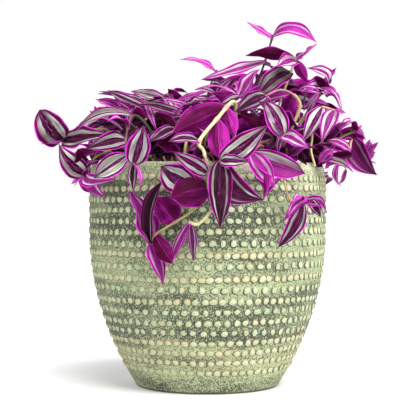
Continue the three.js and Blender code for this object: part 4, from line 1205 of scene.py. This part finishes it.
class PLANT_OT_soil(bpy.types.Operator):
    """Fill the pot with lumpy soil and strew crumbs on it"""

    bl_idname = "plant.soil"
    bl_label = "Soil"

    def execute(self, context):
        settings = context.scene.soil_settings
        pot = context.scene.pot_settings
        edge = inner_radius(SOIL_EDGE, pot) - 0.5
        depth = SOIL_EDGE - SOIL_DEPTH
        rings = [(inner_radius(depth, pot) - 0.6, depth), (edge, SOIL_EDGE - 2)]
        rings += [(radius, soil_top(radius, pot)) for radius in np.linspace(edge, 1.2, SOIL_RINGS)]
        piece = turned("soil_bed", [(radius * MM, z * MM) for radius, z in rings], SOIL_SIDES)
        for vertex in piece.data.vertices:
            place = vertex.co
            if place.z > (SOIL_EDGE - 1) * MM:
                flat = Vector((place.x, place.y, 0.3))
                lumps = noise.noise(flat * 90) + 0.6 * noise.noise(flat * 240)
                place.z += settings.lump * lumps
        piece.data.materials.append(soil_mix(settings))
        smooth(piece, 60)
        ready(piece, "soil_bed", "soil", slot="potting_soil")
        nothing_selected()
        bpy.ops.mesh.primitive_ico_sphere_add(subdivisions=2, radius=1)
        lump = bpy.context.object
        while lump.data.uv_layers:
            lump.data.uv_layers.remove(lump.data.uv_layers[0])
        pattern = Pattern(lump)
        draw = random.Random(11)
        clouds, tones = [], []
        for _ in range(settings.crumbs):
            reach = edge * math.sqrt(draw.random()) * 0.985
            angle = draw.uniform(0, 2 * math.pi)
            size = draw.choice(CRUMB_SIZES) * draw.uniform(0.7, 1.2)
            stretch = np.array([draw.uniform(0.6, 1.6), draw.uniform(0.6, 1.2), draw.uniform(0.4, 0.9)])
            turn = draw.uniform(0, 2 * math.pi)
            rough = np.array([1 + 0.35 * noise.noise(Vector(p) * 1.7 + Vector((len(clouds), 0, 0)))
                              for p in pattern.points])
            shape = pattern.points * rough[:, None] * stretch * size
            x = shape[:, 0] * math.cos(turn) - shape[:, 1] * math.sin(turn)
            y = shape[:, 0] * math.sin(turn) + shape[:, 1] * math.cos(turn)
            centre = (reach * math.cos(angle), reach * math.sin(angle), soil_top(reach, pot) + 0.3 * size)
            clouds.append((np.column_stack((x, y, shape[:, 2])) + centre) * MM)
            tones.append(draw.random())
        crumbs = pattern.copies("soil_crumbs", clouds, [crumb_mix(settings)], crumb=tones)
        smooth(crumbs, 60)
        ready(crumbs, "soil_crumbs", "soil", slot="potting_soil")
        return {"FINISHED"}


# ------------------------------------------------------------------ stems
def seen(u, v, y):
    """A point as the eye in front of the pot notes it, in the true frame."""
    scale = (EYE_DISTANCE + y) / EYE_DISTANCE
    return Vector((u * scale, y, EYE_HEIGHT + (v - EYE_HEIGHT) * scale))


def noted(place):
    """How far across and up the eye in front of the pot notes a point."""
    scale = (EYE_DISTANCE + place.y) / EYE_DISTANCE
    return place.x / scale, EYE_HEIGHT + (place.z - EYE_HEIGHT) / scale


def random_source(seed):
    """The same small random source as the solids have."""
    state = seed
    while True:
        state = (state * 1664525 + 1013904223) & 0xFFFFFFFF
        yield state / 4294967296


class Route:
    """A smooth curve through points, with the first ones straight up out of the soil."""

    def __init__(self, root, points, surface):
        x, y = root
        self.points = [Vector((x, y, z)) for z in (ROOT_DEPTH, surface - ROOT_STRAIGHT,
                                                   surface + ROOT_STRAIGHT)] + points
        self.last = len(self.points) - 1

    @classmethod
    def through(cls, points):
        """A curve through just these points."""
        route = cls.__new__(cls)
        route.points = points
        route.last = len(points) - 1
        return route

    def at(self, step):
        """The point at a number of points along, which may lie between two of them."""
        step = min(max(step, 0), self.last)
        index = min(int(step), self.last - 1)
        share = step - index
        first, second = self.points[index], self.points[index + 1]
        before = self.points[index - 1] if index else first * 2 - second
        after = self.points[index + 2] if index + 2 <= self.last else second * 2 - first
        leave, arrive = (second - before) * 0.5, (after - first) * 0.5
        bend = (second - first) * 3 - leave * 2 - arrive
        close = (first - second) * 2 + leave + arrive
        return first + leave * share + bend * share ** 2 + close * share ** 3

    def leaf_step(self, at):
        return min(at + ROOT_POINTS, self.last - SHOOT_END)


def across(vector, along):
    return (vector - along * vector.dot(along)).normalized()


def leaf_frame(chord, face):
    facing = across(face, chord)
    skyward = chord.cross(facing)
    return facing, -skyward if skyward.z < 0 else skyward


def bent_tip(leaf, bend, size):
    reach = leaf["tip"] - leaf["base"]
    chord = reach.normalized()
    facing, skyward = leaf_frame(chord, leaf["face"])
    turned_chord = (chord + facing * bend[0] + skyward * bend[1]).normalized()
    return leaf["base"] + turned_chord * (reach.length * size)


def front_stem(row, pot):
    x, y = row["root"]
    route = Route((x, y), [seen(*point) for point in row["path"]], soil_top(math.hypot(x, y), pot))
    leaves = []
    for at, u, v, y, width, roll, arch, look, shape in map(whole_row, row["leaves"]):
        leaves.append(dict(
            base=route.at(route.leaf_step(at)), tip=seen(u, v, y), width=width,
            roll=math.radians(roll), arch=arch, look=look, shape=shape, face=FRONT))
    return dict(name=row["name"], radius=row["radius"] * row.get("stout", 1), bark=row["bark"],
                thin_from=row.get("thin_from"), shaded=row.get("shaded"), route=route, leaves=leaves)


def fill_stem(row, index, draw, pot):
    azimuth, root_radius, reach, height, drop = row
    angle = math.radians(azimuth + 8 * (next(draw) - 0.5))
    out = Vector((math.cos(angle), math.sin(angle), 0))
    aside = Vector((-out.y, out.x, 0))
    sway = 14 * (next(draw) - 0.5)
    up = Vector((0, 0, 1))

    def place(radius, z, shift):
        return out * radius + aside * shift + up * z

    surface = soil_top(root_radius, pot)
    route = Route((root_radius * out.x, root_radius * out.y), [
        place(root_radius * 0.7 + reach * 0.3, (surface + height) / 2 + 4, sway * 0.3),
        place(root_radius * 0.4 + reach * 0.6, height, sway * 0.7),
        place(reach * 0.92, height - drop * 0.3, sway),
        place(reach, height - drop, sway * 1.2),
    ], surface)
    leaves = []
    for k, at in enumerate(FILL_NODES):
        base = route.at(route.leaf_step(at))
        length = FILL_LENGTH[0] + (FILL_LENGTH[1] - FILL_LENGTH[0]) * next(draw)
        swing = (1 if k % 2 else -1) * (0.5 + 0.9 * next(draw))
        lift = 0.5 - 0.9 * at / FILL_NODES[-1] + 0.5 * (next(draw) - 0.5)
        heading = (out * math.cos(swing) + aside * math.sin(swing) + up * lift).normalized()
        leaves.append(dict(
            base=base, tip=base + heading * length, width=length * FILL_ASPECT,
            roll=0.9 * (next(draw) - 0.5), arch=0.05 + 0.1 * next(draw),
            look=FILL_LOOKS[(index * 5 + k * 3) % len(FILL_LOOKS)], face=out * 0.7 + up * 0.7, shape={}))
    return dict(name=f"stem_fill_{index + 1:02d}", radius=FILL_RADIUS,
                bark=FILL_BARKS[index % len(FILL_BARKS)], thin_from=None, shaded=None,
                route=route, leaves=leaves)


def all_stems(pot):
    draw = random_source(FILL_SEED)
    stems = [front_stem(row, pot) for row in FRONT_STEMS]
    return stems + [fill_stem(row, index, draw, pot) for index, row in enumerate(FILL_STEMS)]


def settled(stem):
    """The stem's leaves as its solid has them: each keeps the bend and size whose tip it finds."""
    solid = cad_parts[stem["name"]].data
    tree = KDTree(len(solid.vertices))
    for number, vertex in enumerate(solid.vertices):
        tree.insert(vertex.co / MM, number)
    tree.balance()
    found = []
    for leaf in stem["leaves"]:
        choices = [(size, bent_tip(leaf, bend, size)) for size in SIZES for bend in BENDS]
        near = [(tree.find(tip)[2], size, tip) for size, tip in choices]
        best = next((choice for choice in near if choice[0] < TIP_MATCH), None)
        if best:
            shape = RESHAPED.get((stem["name"], len(found)), leaf["shape"])
            look = shape.get("look", leaf["look"])
            found.append(dict(leaf, size=best[1], tip=best[2], shape=shape, look=look))
    return found


def fills_gap(base, tip):
    """Whether a leaf from base to tip would close one of the gaps that show the sky."""
    for share in (0, 0.25, 0.5, 0.75, 1):
        u, v = noted(base.lerp(tip, share))
        if any(math.hypot(u - gap[0], v - gap[1]) < gap[2] + GAP_MARGIN for gap in SKY_GAPS):
            return True
    return False


def inner_leaves(stem, pot, draw):
    """Small leaves on the bare lower part of a stem, inside the plant's outline."""
    route, found = stem["route"], []
    low, high = (Vector(corner) / MM for corner in CAD_BOX)
    step = 2.25 + INNER_STEP * draw.random()
    while step < route.last - 0.4:
        base = route.at(step)
        length = draw.uniform(*INNER_LENGTH)
        heading = draw.uniform(0, 2 * math.pi)
        pull = Vector((base.x, base.y, 0)) / 90
        chord = Vector((math.cos(heading), math.sin(heading), draw.uniform(-0.25, 0.7))) + pull
        tip = base + chord.normalized() * length
        u, v = noted(tip)
        height = np.interp(u, *zip(*SKYLINE))
        reach = math.hypot(tip.x, tip.y)
        boxed = all(low[k] + INNER_MARGIN < tip[k] < high[k] - INNER_MARGIN for k in range(3))
        inside = reach < inner_radius(SOIL_EDGE, pot) - INNER_MARGIN and tip.z > SOIL_MIDDLE + 5
        nearest_front, top = min(tip.y, base.y), max(tip.z, base.z)
        front = nearest_front < INNER_FRONT and (tip.y < INNER_REACH or top > INNER_TOP)
        front = front or nearest_front < INNER_MIDDLE and top > INNER_CROWN
        clear = not front and not fills_gap(base, tip) and (tip.z > INNER_OVER_RIM or inside)
        if boxed and clear and v < height and abs(u) < -SKYLINE[0][0] and base.z > SOIL_MIDDLE:
            found.append(dict(
                base=base, tip=tip, size=1, width=length * draw.uniform(0.28, 0.42),
                roll=draw.uniform(-0.6, 0.9), arch=draw.uniform(0.02, 0.14),
                look=draw.choice(INNER_LOOKS), shape={},
                face=Vector((base.x, base.y, 60)).normalized()))
            step += INNER_STEP
        else:
            step += INNER_STEP / 3
    return found


def whole_row(row):
    """A leaf's row of a table, with a plain shape where it gives none."""
    return row if isinstance(row[-1], dict) else (*row, {})


def twig_leaves(stem):
    """The leaves that stand on side twigs of their own."""
    leaves = []
    for u, v, y, *tip, width, roll, arch, look, shape in map(whole_row, TWIG_LEAVES.get(stem["name"], ())):
        leaves.append(dict(
            base=seen(u, v, y), tip=seen(*tip), size=1, width=width, roll=math.radians(roll), arch=arch,
            look=look, shape=shape, face=FRONT if y < 0 else OVER_THE_BACK))
    return leaves


def nearest(route, point):
    """The point of a stem's free part that is nearest to another point."""
    steps = np.linspace(2, route.last, 60)
    return min((route.at(step) for step in steps), key=lambda place: (place - point).length)


# ------------------------------------------------------------------ leaves
def leaf_pattern():
    """A flat leaf of unit half width and half length, with an upper and an under side."""
    nothing_selected()
    bpy.ops.mesh.primitive_grid_add(x_subdivisions=LEAF_ACROSS, y_subdivisions=LEAF_ALONG, size=2)
    piece = bpy.context.object
    piece.data.materials.append(None)
    piece.data.materials.append(None)
    shell = piece.modifiers.new("thickness", "SOLIDIFY")
    shell.thickness = 0.1
    shell.offset = -1
    shell.material_offset = 1
    shell.material_offset_rim = 0
    bpy.ops.object.modifier_apply(modifier="thickness")
    return Pattern(piece)


def half_width(t, widest, tip):
    """The outline of a leaf: full below, drawn out to a point above."""
    below = np.sin(np.pi / 2 * np.clip(t / widest, 0, 1)) ** 0.62
    above = np.cos(np.pi / 2 * np.clip((t - widest) / (1 - widest), 0, 1) ** 1.25).clip(0, 1) ** tip
    return np.where(t < widest, below, above)


def leaf_cloud(leaf, pattern, settings, draw):
    """Where the pattern's points lie on one leaf, in metres."""
    # s runs across the blade from -1 to 1, and t along it from 0 to 1, closer together near its base.
    s = pattern.points[:, 0]
    t = ((pattern.points[:, 1] + 1) / 2) ** 1.15
    under = pattern.points[:, 2] < -0.05
    tip, base, shape = leaf["tip"], leaf["base"], leaf["shape"]
    chord = (tip - base).normalized()
    base = base - chord * BLADE_SINK
    length = (tip - base).length * shape.get("long", 1)
    facing, skyward = leaf_frame(chord, leaf["face"])
    normal = facing * math.cos(leaf["roll"]) + skyward * math.sin(leaf["roll"])
    side = chord.cross(normal)
    # The midrib: arched between its ends, swept aside, curled down and hooked near its tip.
    free = np.clip((t * length - BLADE_SINK) / (length - BLADE_SINK), 0, 1)
    hump = 4 * free * (1 - free)
    arch = leaf["arch"] * length * hump
    sweep = shape.get("sweep", draw.uniform(-0.05, 0.05)) * length * hump
    curl = shape.get("curl", draw.uniform(-0.03, 0.09)) * length * np.clip((t - 0.55) / 0.45, 0, 1) ** 2
    hook = shape.get("hook", draw.uniform(-0.06, 0.06)) * length * np.clip((t - 0.6) / 0.4, 0, 1) ** 2
    middle = (np.array(base) + np.outer(length * t, chord) + np.outer(arch - curl, normal)
              + np.outer(sweep + hook, side))
    # Which way the blade faces along its midrib, with its twist.
    rise = 4 * leaf["arch"] * (1 - 2 * free)
    along = np.array(chord) + np.outer(rise, normal)
    along /= np.linalg.norm(along, axis=1)[:, None]
    twist = (shape.get("twist", draw.uniform(-0.30, 0.30)) * t)[:, None]
    upright = np.cross(np.broadcast_to(np.array(side), along.shape), along)
    lateral = np.array(side) * np.cos(twist) + upright * np.sin(twist)
    outward = upright * np.cos(twist) - np.array(side) * np.sin(twist)
    # The outline, then the fold along the midrib and the ripples of the margins.
    width = leaf["width"] * leaf["size"] * shape.get("wide", 1.04) / 2
    ends = np.where(t < 0.5, 0.10 * (1 - t * 6).clip(0, 1), 0.03 * (t * 12 - 11).clip(0, 1))
    outline = half_width(t, shape.get("widest", draw.uniform(0.33, 0.42)), shape.get("full", 1.12))
    half = width * np.maximum(outline, ends)
    fold = shape.get("fold", FOLD * draw.uniform(0.8, 1.7))
    reach = np.abs(s)
    phase = draw.uniform(0, 6.3)
    waves = shape.get("ripple", settings.ripple) * np.sin(2 * np.pi * 2.1 * t + phase + 1.7 * np.sign(s))
    lift = half * (fold * (np.sqrt(s * s + 0.03) - 0.17) + waves * reach ** 2)
    # The blade is thinner at its margins and ends.
    thick = settings.thickness / MM * (1 - 0.55 * reach) * np.sin(np.pi * (0.1 + 0.8 * t)) ** 0.3
    drop = np.where(under, thick, 0) - thick / 2
    cloud = middle + lateral * (half * s)[:, None] + outward * (lift - drop)[:, None]
    return cloud * MM


class PLANT_OT_leaves(bpy.types.Operator):
    """Grow the striped leaves of every stem"""

    bl_idname = "plant.leaves"
    bl_label = "Leaves"

    def execute(self, context):
        settings = context.scene.leaf_settings
        pattern = leaf_pattern()
        materials = [leaf_upper(settings), leaf_under(settings)]
        inner = random.Random(INNER_SEED)
        for stem in all_stems(context.scene.pot_settings):
            draw = random.Random(stem["name"])
            leaves = settled(stem)
            if not leaves:
                raise RuntimeError(f"no leaf of {stem['name']} was found on its solid")
            leaves += twig_leaves(stem) + inner_leaves(stem, context.scene.pot_settings, inner)
            clouds = [leaf_cloud(leaf, pattern, settings, draw) for leaf in leaves]
            looks = [LEAF_LOOKS[leaf["look"]] for leaf in leaves]
            looks = [[min(1, max(0, value + draw.uniform(-0.07, 0.07))) for value in look]
                     for look in looks]
            seeds = [[draw.uniform(0, 50) for _ in range(3)] for _ in leaves]
            leans = [leaf["shape"].get("lean", draw.uniform(-0.35, 0.35)) for leaf in leaves]
            name = stem["name"] + "_leaves"
            piece = pattern.copies(name, clouds, materials, look=looks, seed=seeds, lean=leans)
            smooth(piece, 70)
            ready(piece, name, stem["name"], slot="leaf")
        return {"FINISHED"}


# ------------------------------------------------------------------ stems as pieces
def tube_pattern(sides, steps):
    """A tube of unit radius with closed ends, whose height is its number of steps."""
    nothing_selected()
    bpy.ops.mesh.primitive_circle_add(vertices=sides, radius=1, fill_type="NOTHING")
    piece = bpy.context.object
    bpy.ops.object.mode_set(mode="EDIT")
    bpy.ops.mesh.select_all(action="SELECT")
    for _ in range(steps):
        bpy.ops.mesh.extrude_region_move(TRANSFORM_OT_translate={"value": (0, 0, 1)})
    bpy.ops.mesh.select_all(action="SELECT")
    bpy.ops.mesh.select_non_manifold(extend=False)
    bpy.ops.mesh.edge_face_add()
    bpy.ops.object.mode_set(mode="OBJECT")
    while piece.data.uv_layers:
        piece.data.uv_layers.remove(piece.data.uv_layers[0])
    return Pattern(piece)


def tube_cloud(pattern, centres, radii):
    """The tube's points along a row of centres, in metres."""
    levels = np.round(pattern.points[:, 2]).astype(int)
    frames = []
    lateral = Vector((1, 0.1, 0.2))
    for level in range(len(centres)):
        along = centres[min(level + 1, len(centres) - 1)] - centres[max(level - 1, 0)]
        along.normalize()
        lateral = across(lateral, along)
        frames.append((lateral, along.cross(lateral)))
    cloud = [centres[level] + (frames[level][0] * x + frames[level][1] * y) * radii[level]
             for (x, y, _), level in zip(pattern.points, levels)]
    return np.array(cloud) * MM


def stem_rings(stem, settings):
    """Centres and radii along a stem, and how near to a joint each is."""
    route = stem["route"]
    centres = [route.at(route.last * level / TUBE_STEPS) for level in range(TUBE_STEPS + 1)]
    joints = [leaf["base"] for leaf in stem["leaves"]]
    width = settings.node_length / MM
    radii, rings = [], []
    for level, centre in enumerate(centres):
        near = min((centre - joint).length for joint in joints)
        ring = math.exp(-(near / width) ** 2)
        taper = ROOT_TAPER - TAPER * level / TUBE_STEPS
        bumps = 1 + 0.06 * noise.noise(centre * 0.35)
        if stem["thin_from"] and level > stem["thin_from"] * TUBE_STEPS:
            taper *= THIN_PART
        radii.append(stem["radius"] * settings.slim * taper * bumps * (1 + settings.swelling * ring))
        rings.append(ring)
    return centres, radii, rings


def twig_rings(start, points, radius):
    """A thin shoot that leaves a stem and passes some points."""
    path = [start] + points
    route = Route.through(path)
    centres = [route.at(route.last * level / TWIG_STEPS) for level in range(TWIG_STEPS + 1)]
    radii = [radius * (1.15 - 0.4 * level / TWIG_STEPS) for level in range(TWIG_STEPS + 1)]
    return centres, radii


class PLANT_OT_stems(bpy.types.Operator):
    """Draw the stems up out of the soil, with their side twigs and roots"""

    bl_idname = "plant.stems"
    bl_label = "Stems"

    def execute(self, context):
        settings = context.scene.shoot_settings
        tube = tube_pattern(TUBE_SIDES, TUBE_STEPS)
        thin = tube_pattern(TWIG_SIDES, TWIG_STEPS)
        skin = stem_skin()
        for stem in all_stems(context.scene.pot_settings):
            centres, radii, rings = stem_rings(stem, settings)
            levels = np.round(tube.points[:, 2]).astype(int)
            tint = (*BARK_TINTS[stem["bark"]], 1)
            name = stem["name"] + "_stalk"
            cloud = tube_cloud(tube, centres, radii)
            skins = np.tile(tint, (len(levels), 1))
            if stem["shaded"]:
                first, last = (share * TUBE_STEPS for share in stem["shaded"])
                skins[(levels > first) & (levels < last)] *= SKIN_SHADE
            piece = tube.copies(name, [cloud], [skin], tint=skins, joint=np.array(rings)[levels])
            smooth(piece, 70)
            ready(piece, name, stem["name"], slot="leaf")
            twigs, tints = [], []
            for leaf in twig_leaves(stem):
                start = nearest(stem["route"], leaf["base"])
                inside = leaf["base"] + (leaf["tip"] - leaf["base"]).normalized()
                bow = (start + leaf["base"]) / 2 + Vector((0, 0, 0.08)) * (start - leaf["base"]).length
                points = [bow, leaf["base"], inside]
                twigs.append(tube_cloud(thin, *twig_rings(start, points, TWIG_RADIUS)))
                tints.append(tint)
            for radius, bark, points in BARE_SHOOTS.get(stem["name"], ()):
                points = [seen(*point) for point in points]
                start = nearest(stem["route"], points[0])
                twigs.append(tube_cloud(thin, *twig_rings(start, points, radius)))
                tints.append((*BARK_TINTS[bark], 1))
            if twigs:
                name = stem["name"] + "_twigs"
                piece = thin.copies(name, twigs, [skin], tint=tints, joint=[0.2] * len(twigs))
                smooth(piece, 70)
                ready(piece, name, stem["name"], slot="leaf")
        return {"FINISHED"}


# ------------------------------------------------------------------ stage
FLOOR_RADIUS = 60
FLOOR_FAR = (0.7, 0.7, 0.7)
FLOOR_GLOW = 0.27
WHITE = (1, 1, 1, 1)
# Soft lights: where each comes from, its share of the key light, and its softness in degrees.
SUNS = (
    ("key_light", (0.22, -0.42, 1.0), 1, 38),
    ("right_light", (1.0, -0.50, 0.50), 0.27, 50),
    ("front_light", (0.90, -1.0, 0.60), 0.30, 40),
    ("left_light", (-1.0, -0.8, 0.8), 0.16, 60),
    ("back_light", (0.3, 1.0, 1.0), 0.12, 50),
)
EYE_ASIDE = 0.0004
SENSOR = 36
LENS = 109.3
RISE = -8 / 416


class PLANT_OT_stage(bpy.types.Operator):
    """Lay the floor, light it softly and set the camera"""

    bl_idname = "plant.stage"
    bl_label = "Stage"

    def execute(self, context):
        settings = context.scene.stage_settings
        nothing_selected()
        bpy.ops.mesh.primitive_circle_add(vertices=96, radius=FLOOR_RADIUS, fill_type="NGON")
        floor = context.object
        floor.name = "studio_floor"
        graph = Graph("studio_floor", 0.9)
        tone = graph.step(graph.noise(graph.places(), 3), 0.2, 0.8, 0.02)
        graph.shader.inputs["Emission Color"].default_value = WHITE
        graph.shader.inputs["Emission Strength"].default_value = FLOOR_GLOW
        floor.data.materials.append(graph.finish(graph.mix(tone, settings.floor, FLOOR_FAR)))
        world = bpy.data.worlds.new("studio_sky")
        context.scene.world = world
        world.use_nodes = True
        tree = world.node_tree
        backdrop = tree.nodes["Background"]
        backdrop.inputs["Color"].default_value = WHITE
        glow = tree.nodes.new("ShaderNodeBackground")
        glow.inputs["Color"].default_value = WHITE
        glow.inputs["Strength"].default_value = settings.sky
        choice = tree.nodes.new("ShaderNodeMixShader")
        tree.links.new(tree.nodes.new("ShaderNodeLightPath").outputs["Is Camera Ray"], choice.inputs[0])
        tree.links.new(glow.outputs[0], choice.inputs[1])
        tree.links.new(backdrop.outputs[0], choice.inputs[2])
        tree.links.new(choice.outputs[0], tree.nodes["World Output"].inputs["Surface"])
        for name, place, share, softness in SUNS:
            bpy.ops.object.light_add(type="SUN", location=place)
            lamp = context.object
            lamp.name = name
            lamp.data.energy = settings.key * share
            lamp.data.angle = math.radians(softness)
            lamp.rotation_euler = (-Vector(place)).to_track_quat("-Z", "Y").to_euler()
        bpy.ops.object.camera_add(location=(EYE_ASIDE, -EYE_DISTANCE * MM, EYE_HEIGHT * MM),
                                  rotation=(math.pi / 2, 0, 0))
        camera = context.object
        camera.name = "front_camera"
        camera.data.sensor_width = SENSOR
        camera.data.lens = LENS
        camera.data.shift_y = RISE
        camera.data.clip_start = 0.05
        context.scene.camera = camera
        context.scene.view_settings.view_transform = "Standard"
        return {"FINISHED"}


class PLANT_PT_panel(bpy.types.Panel):
    """The steps that make the potted plant"""

    bl_idname = "PLANT_PT_panel"
    bl_label = "Potted tradescantia"
    bl_space_type = "VIEW_3D"
    bl_region_type = "UI"
    bl_category = "Plant"

    def draw(self, context):
        for settings, steps in STEPS:
            group = getattr(context.scene, settings)
            box = self.layout.box()
            for name in group.bl_rna.properties.keys():
                if name not in ("rna_type", "name"):
                    box.prop(group, name)
            for step in steps:
                box.operator(step.bl_idname)


SETTINGS = {
    "pot_settings": PotSettings, "soil_settings": SoilSettings, "shoot_settings": ShootSettings,
    "leaf_settings": LeafSettings, "stage_settings": StageSettings,
}
STEPS = (
    ("pot_settings", (PLANT_OT_pot, PLANT_OT_dots)),
    ("soil_settings", (PLANT_OT_soil,)),
    ("shoot_settings", (PLANT_OT_stems,)),
    ("leaf_settings", (PLANT_OT_leaves,)),
    ("stage_settings", (PLANT_OT_stage,)),
)
CLASSES = (*SETTINGS.values(), *(step for _, steps in STEPS for step in steps), PLANT_PT_panel)


def register():
    for kind in CLASSES:
        bpy.utils.register_class(kind)
    for name, kind in SETTINGS.items():
        setattr(bpy.types.Scene, name, bpy.props.PointerProperty(type=kind))


def unregister():
    for name in SETTINGS:
        delattr(bpy.types.Scene, name)
    for kind in reversed(CLASSES):
        bpy.utils.unregister_class(kind)


def main():
    register()
    bpy.ops.plant.pot()
    bpy.ops.plant.dots()
    bpy.ops.plant.soil()
    bpy.ops.plant.stems()
    bpy.ops.plant.leaves()
    bpy.ops.plant.stage()


if __name__ == "__main__":
    main()
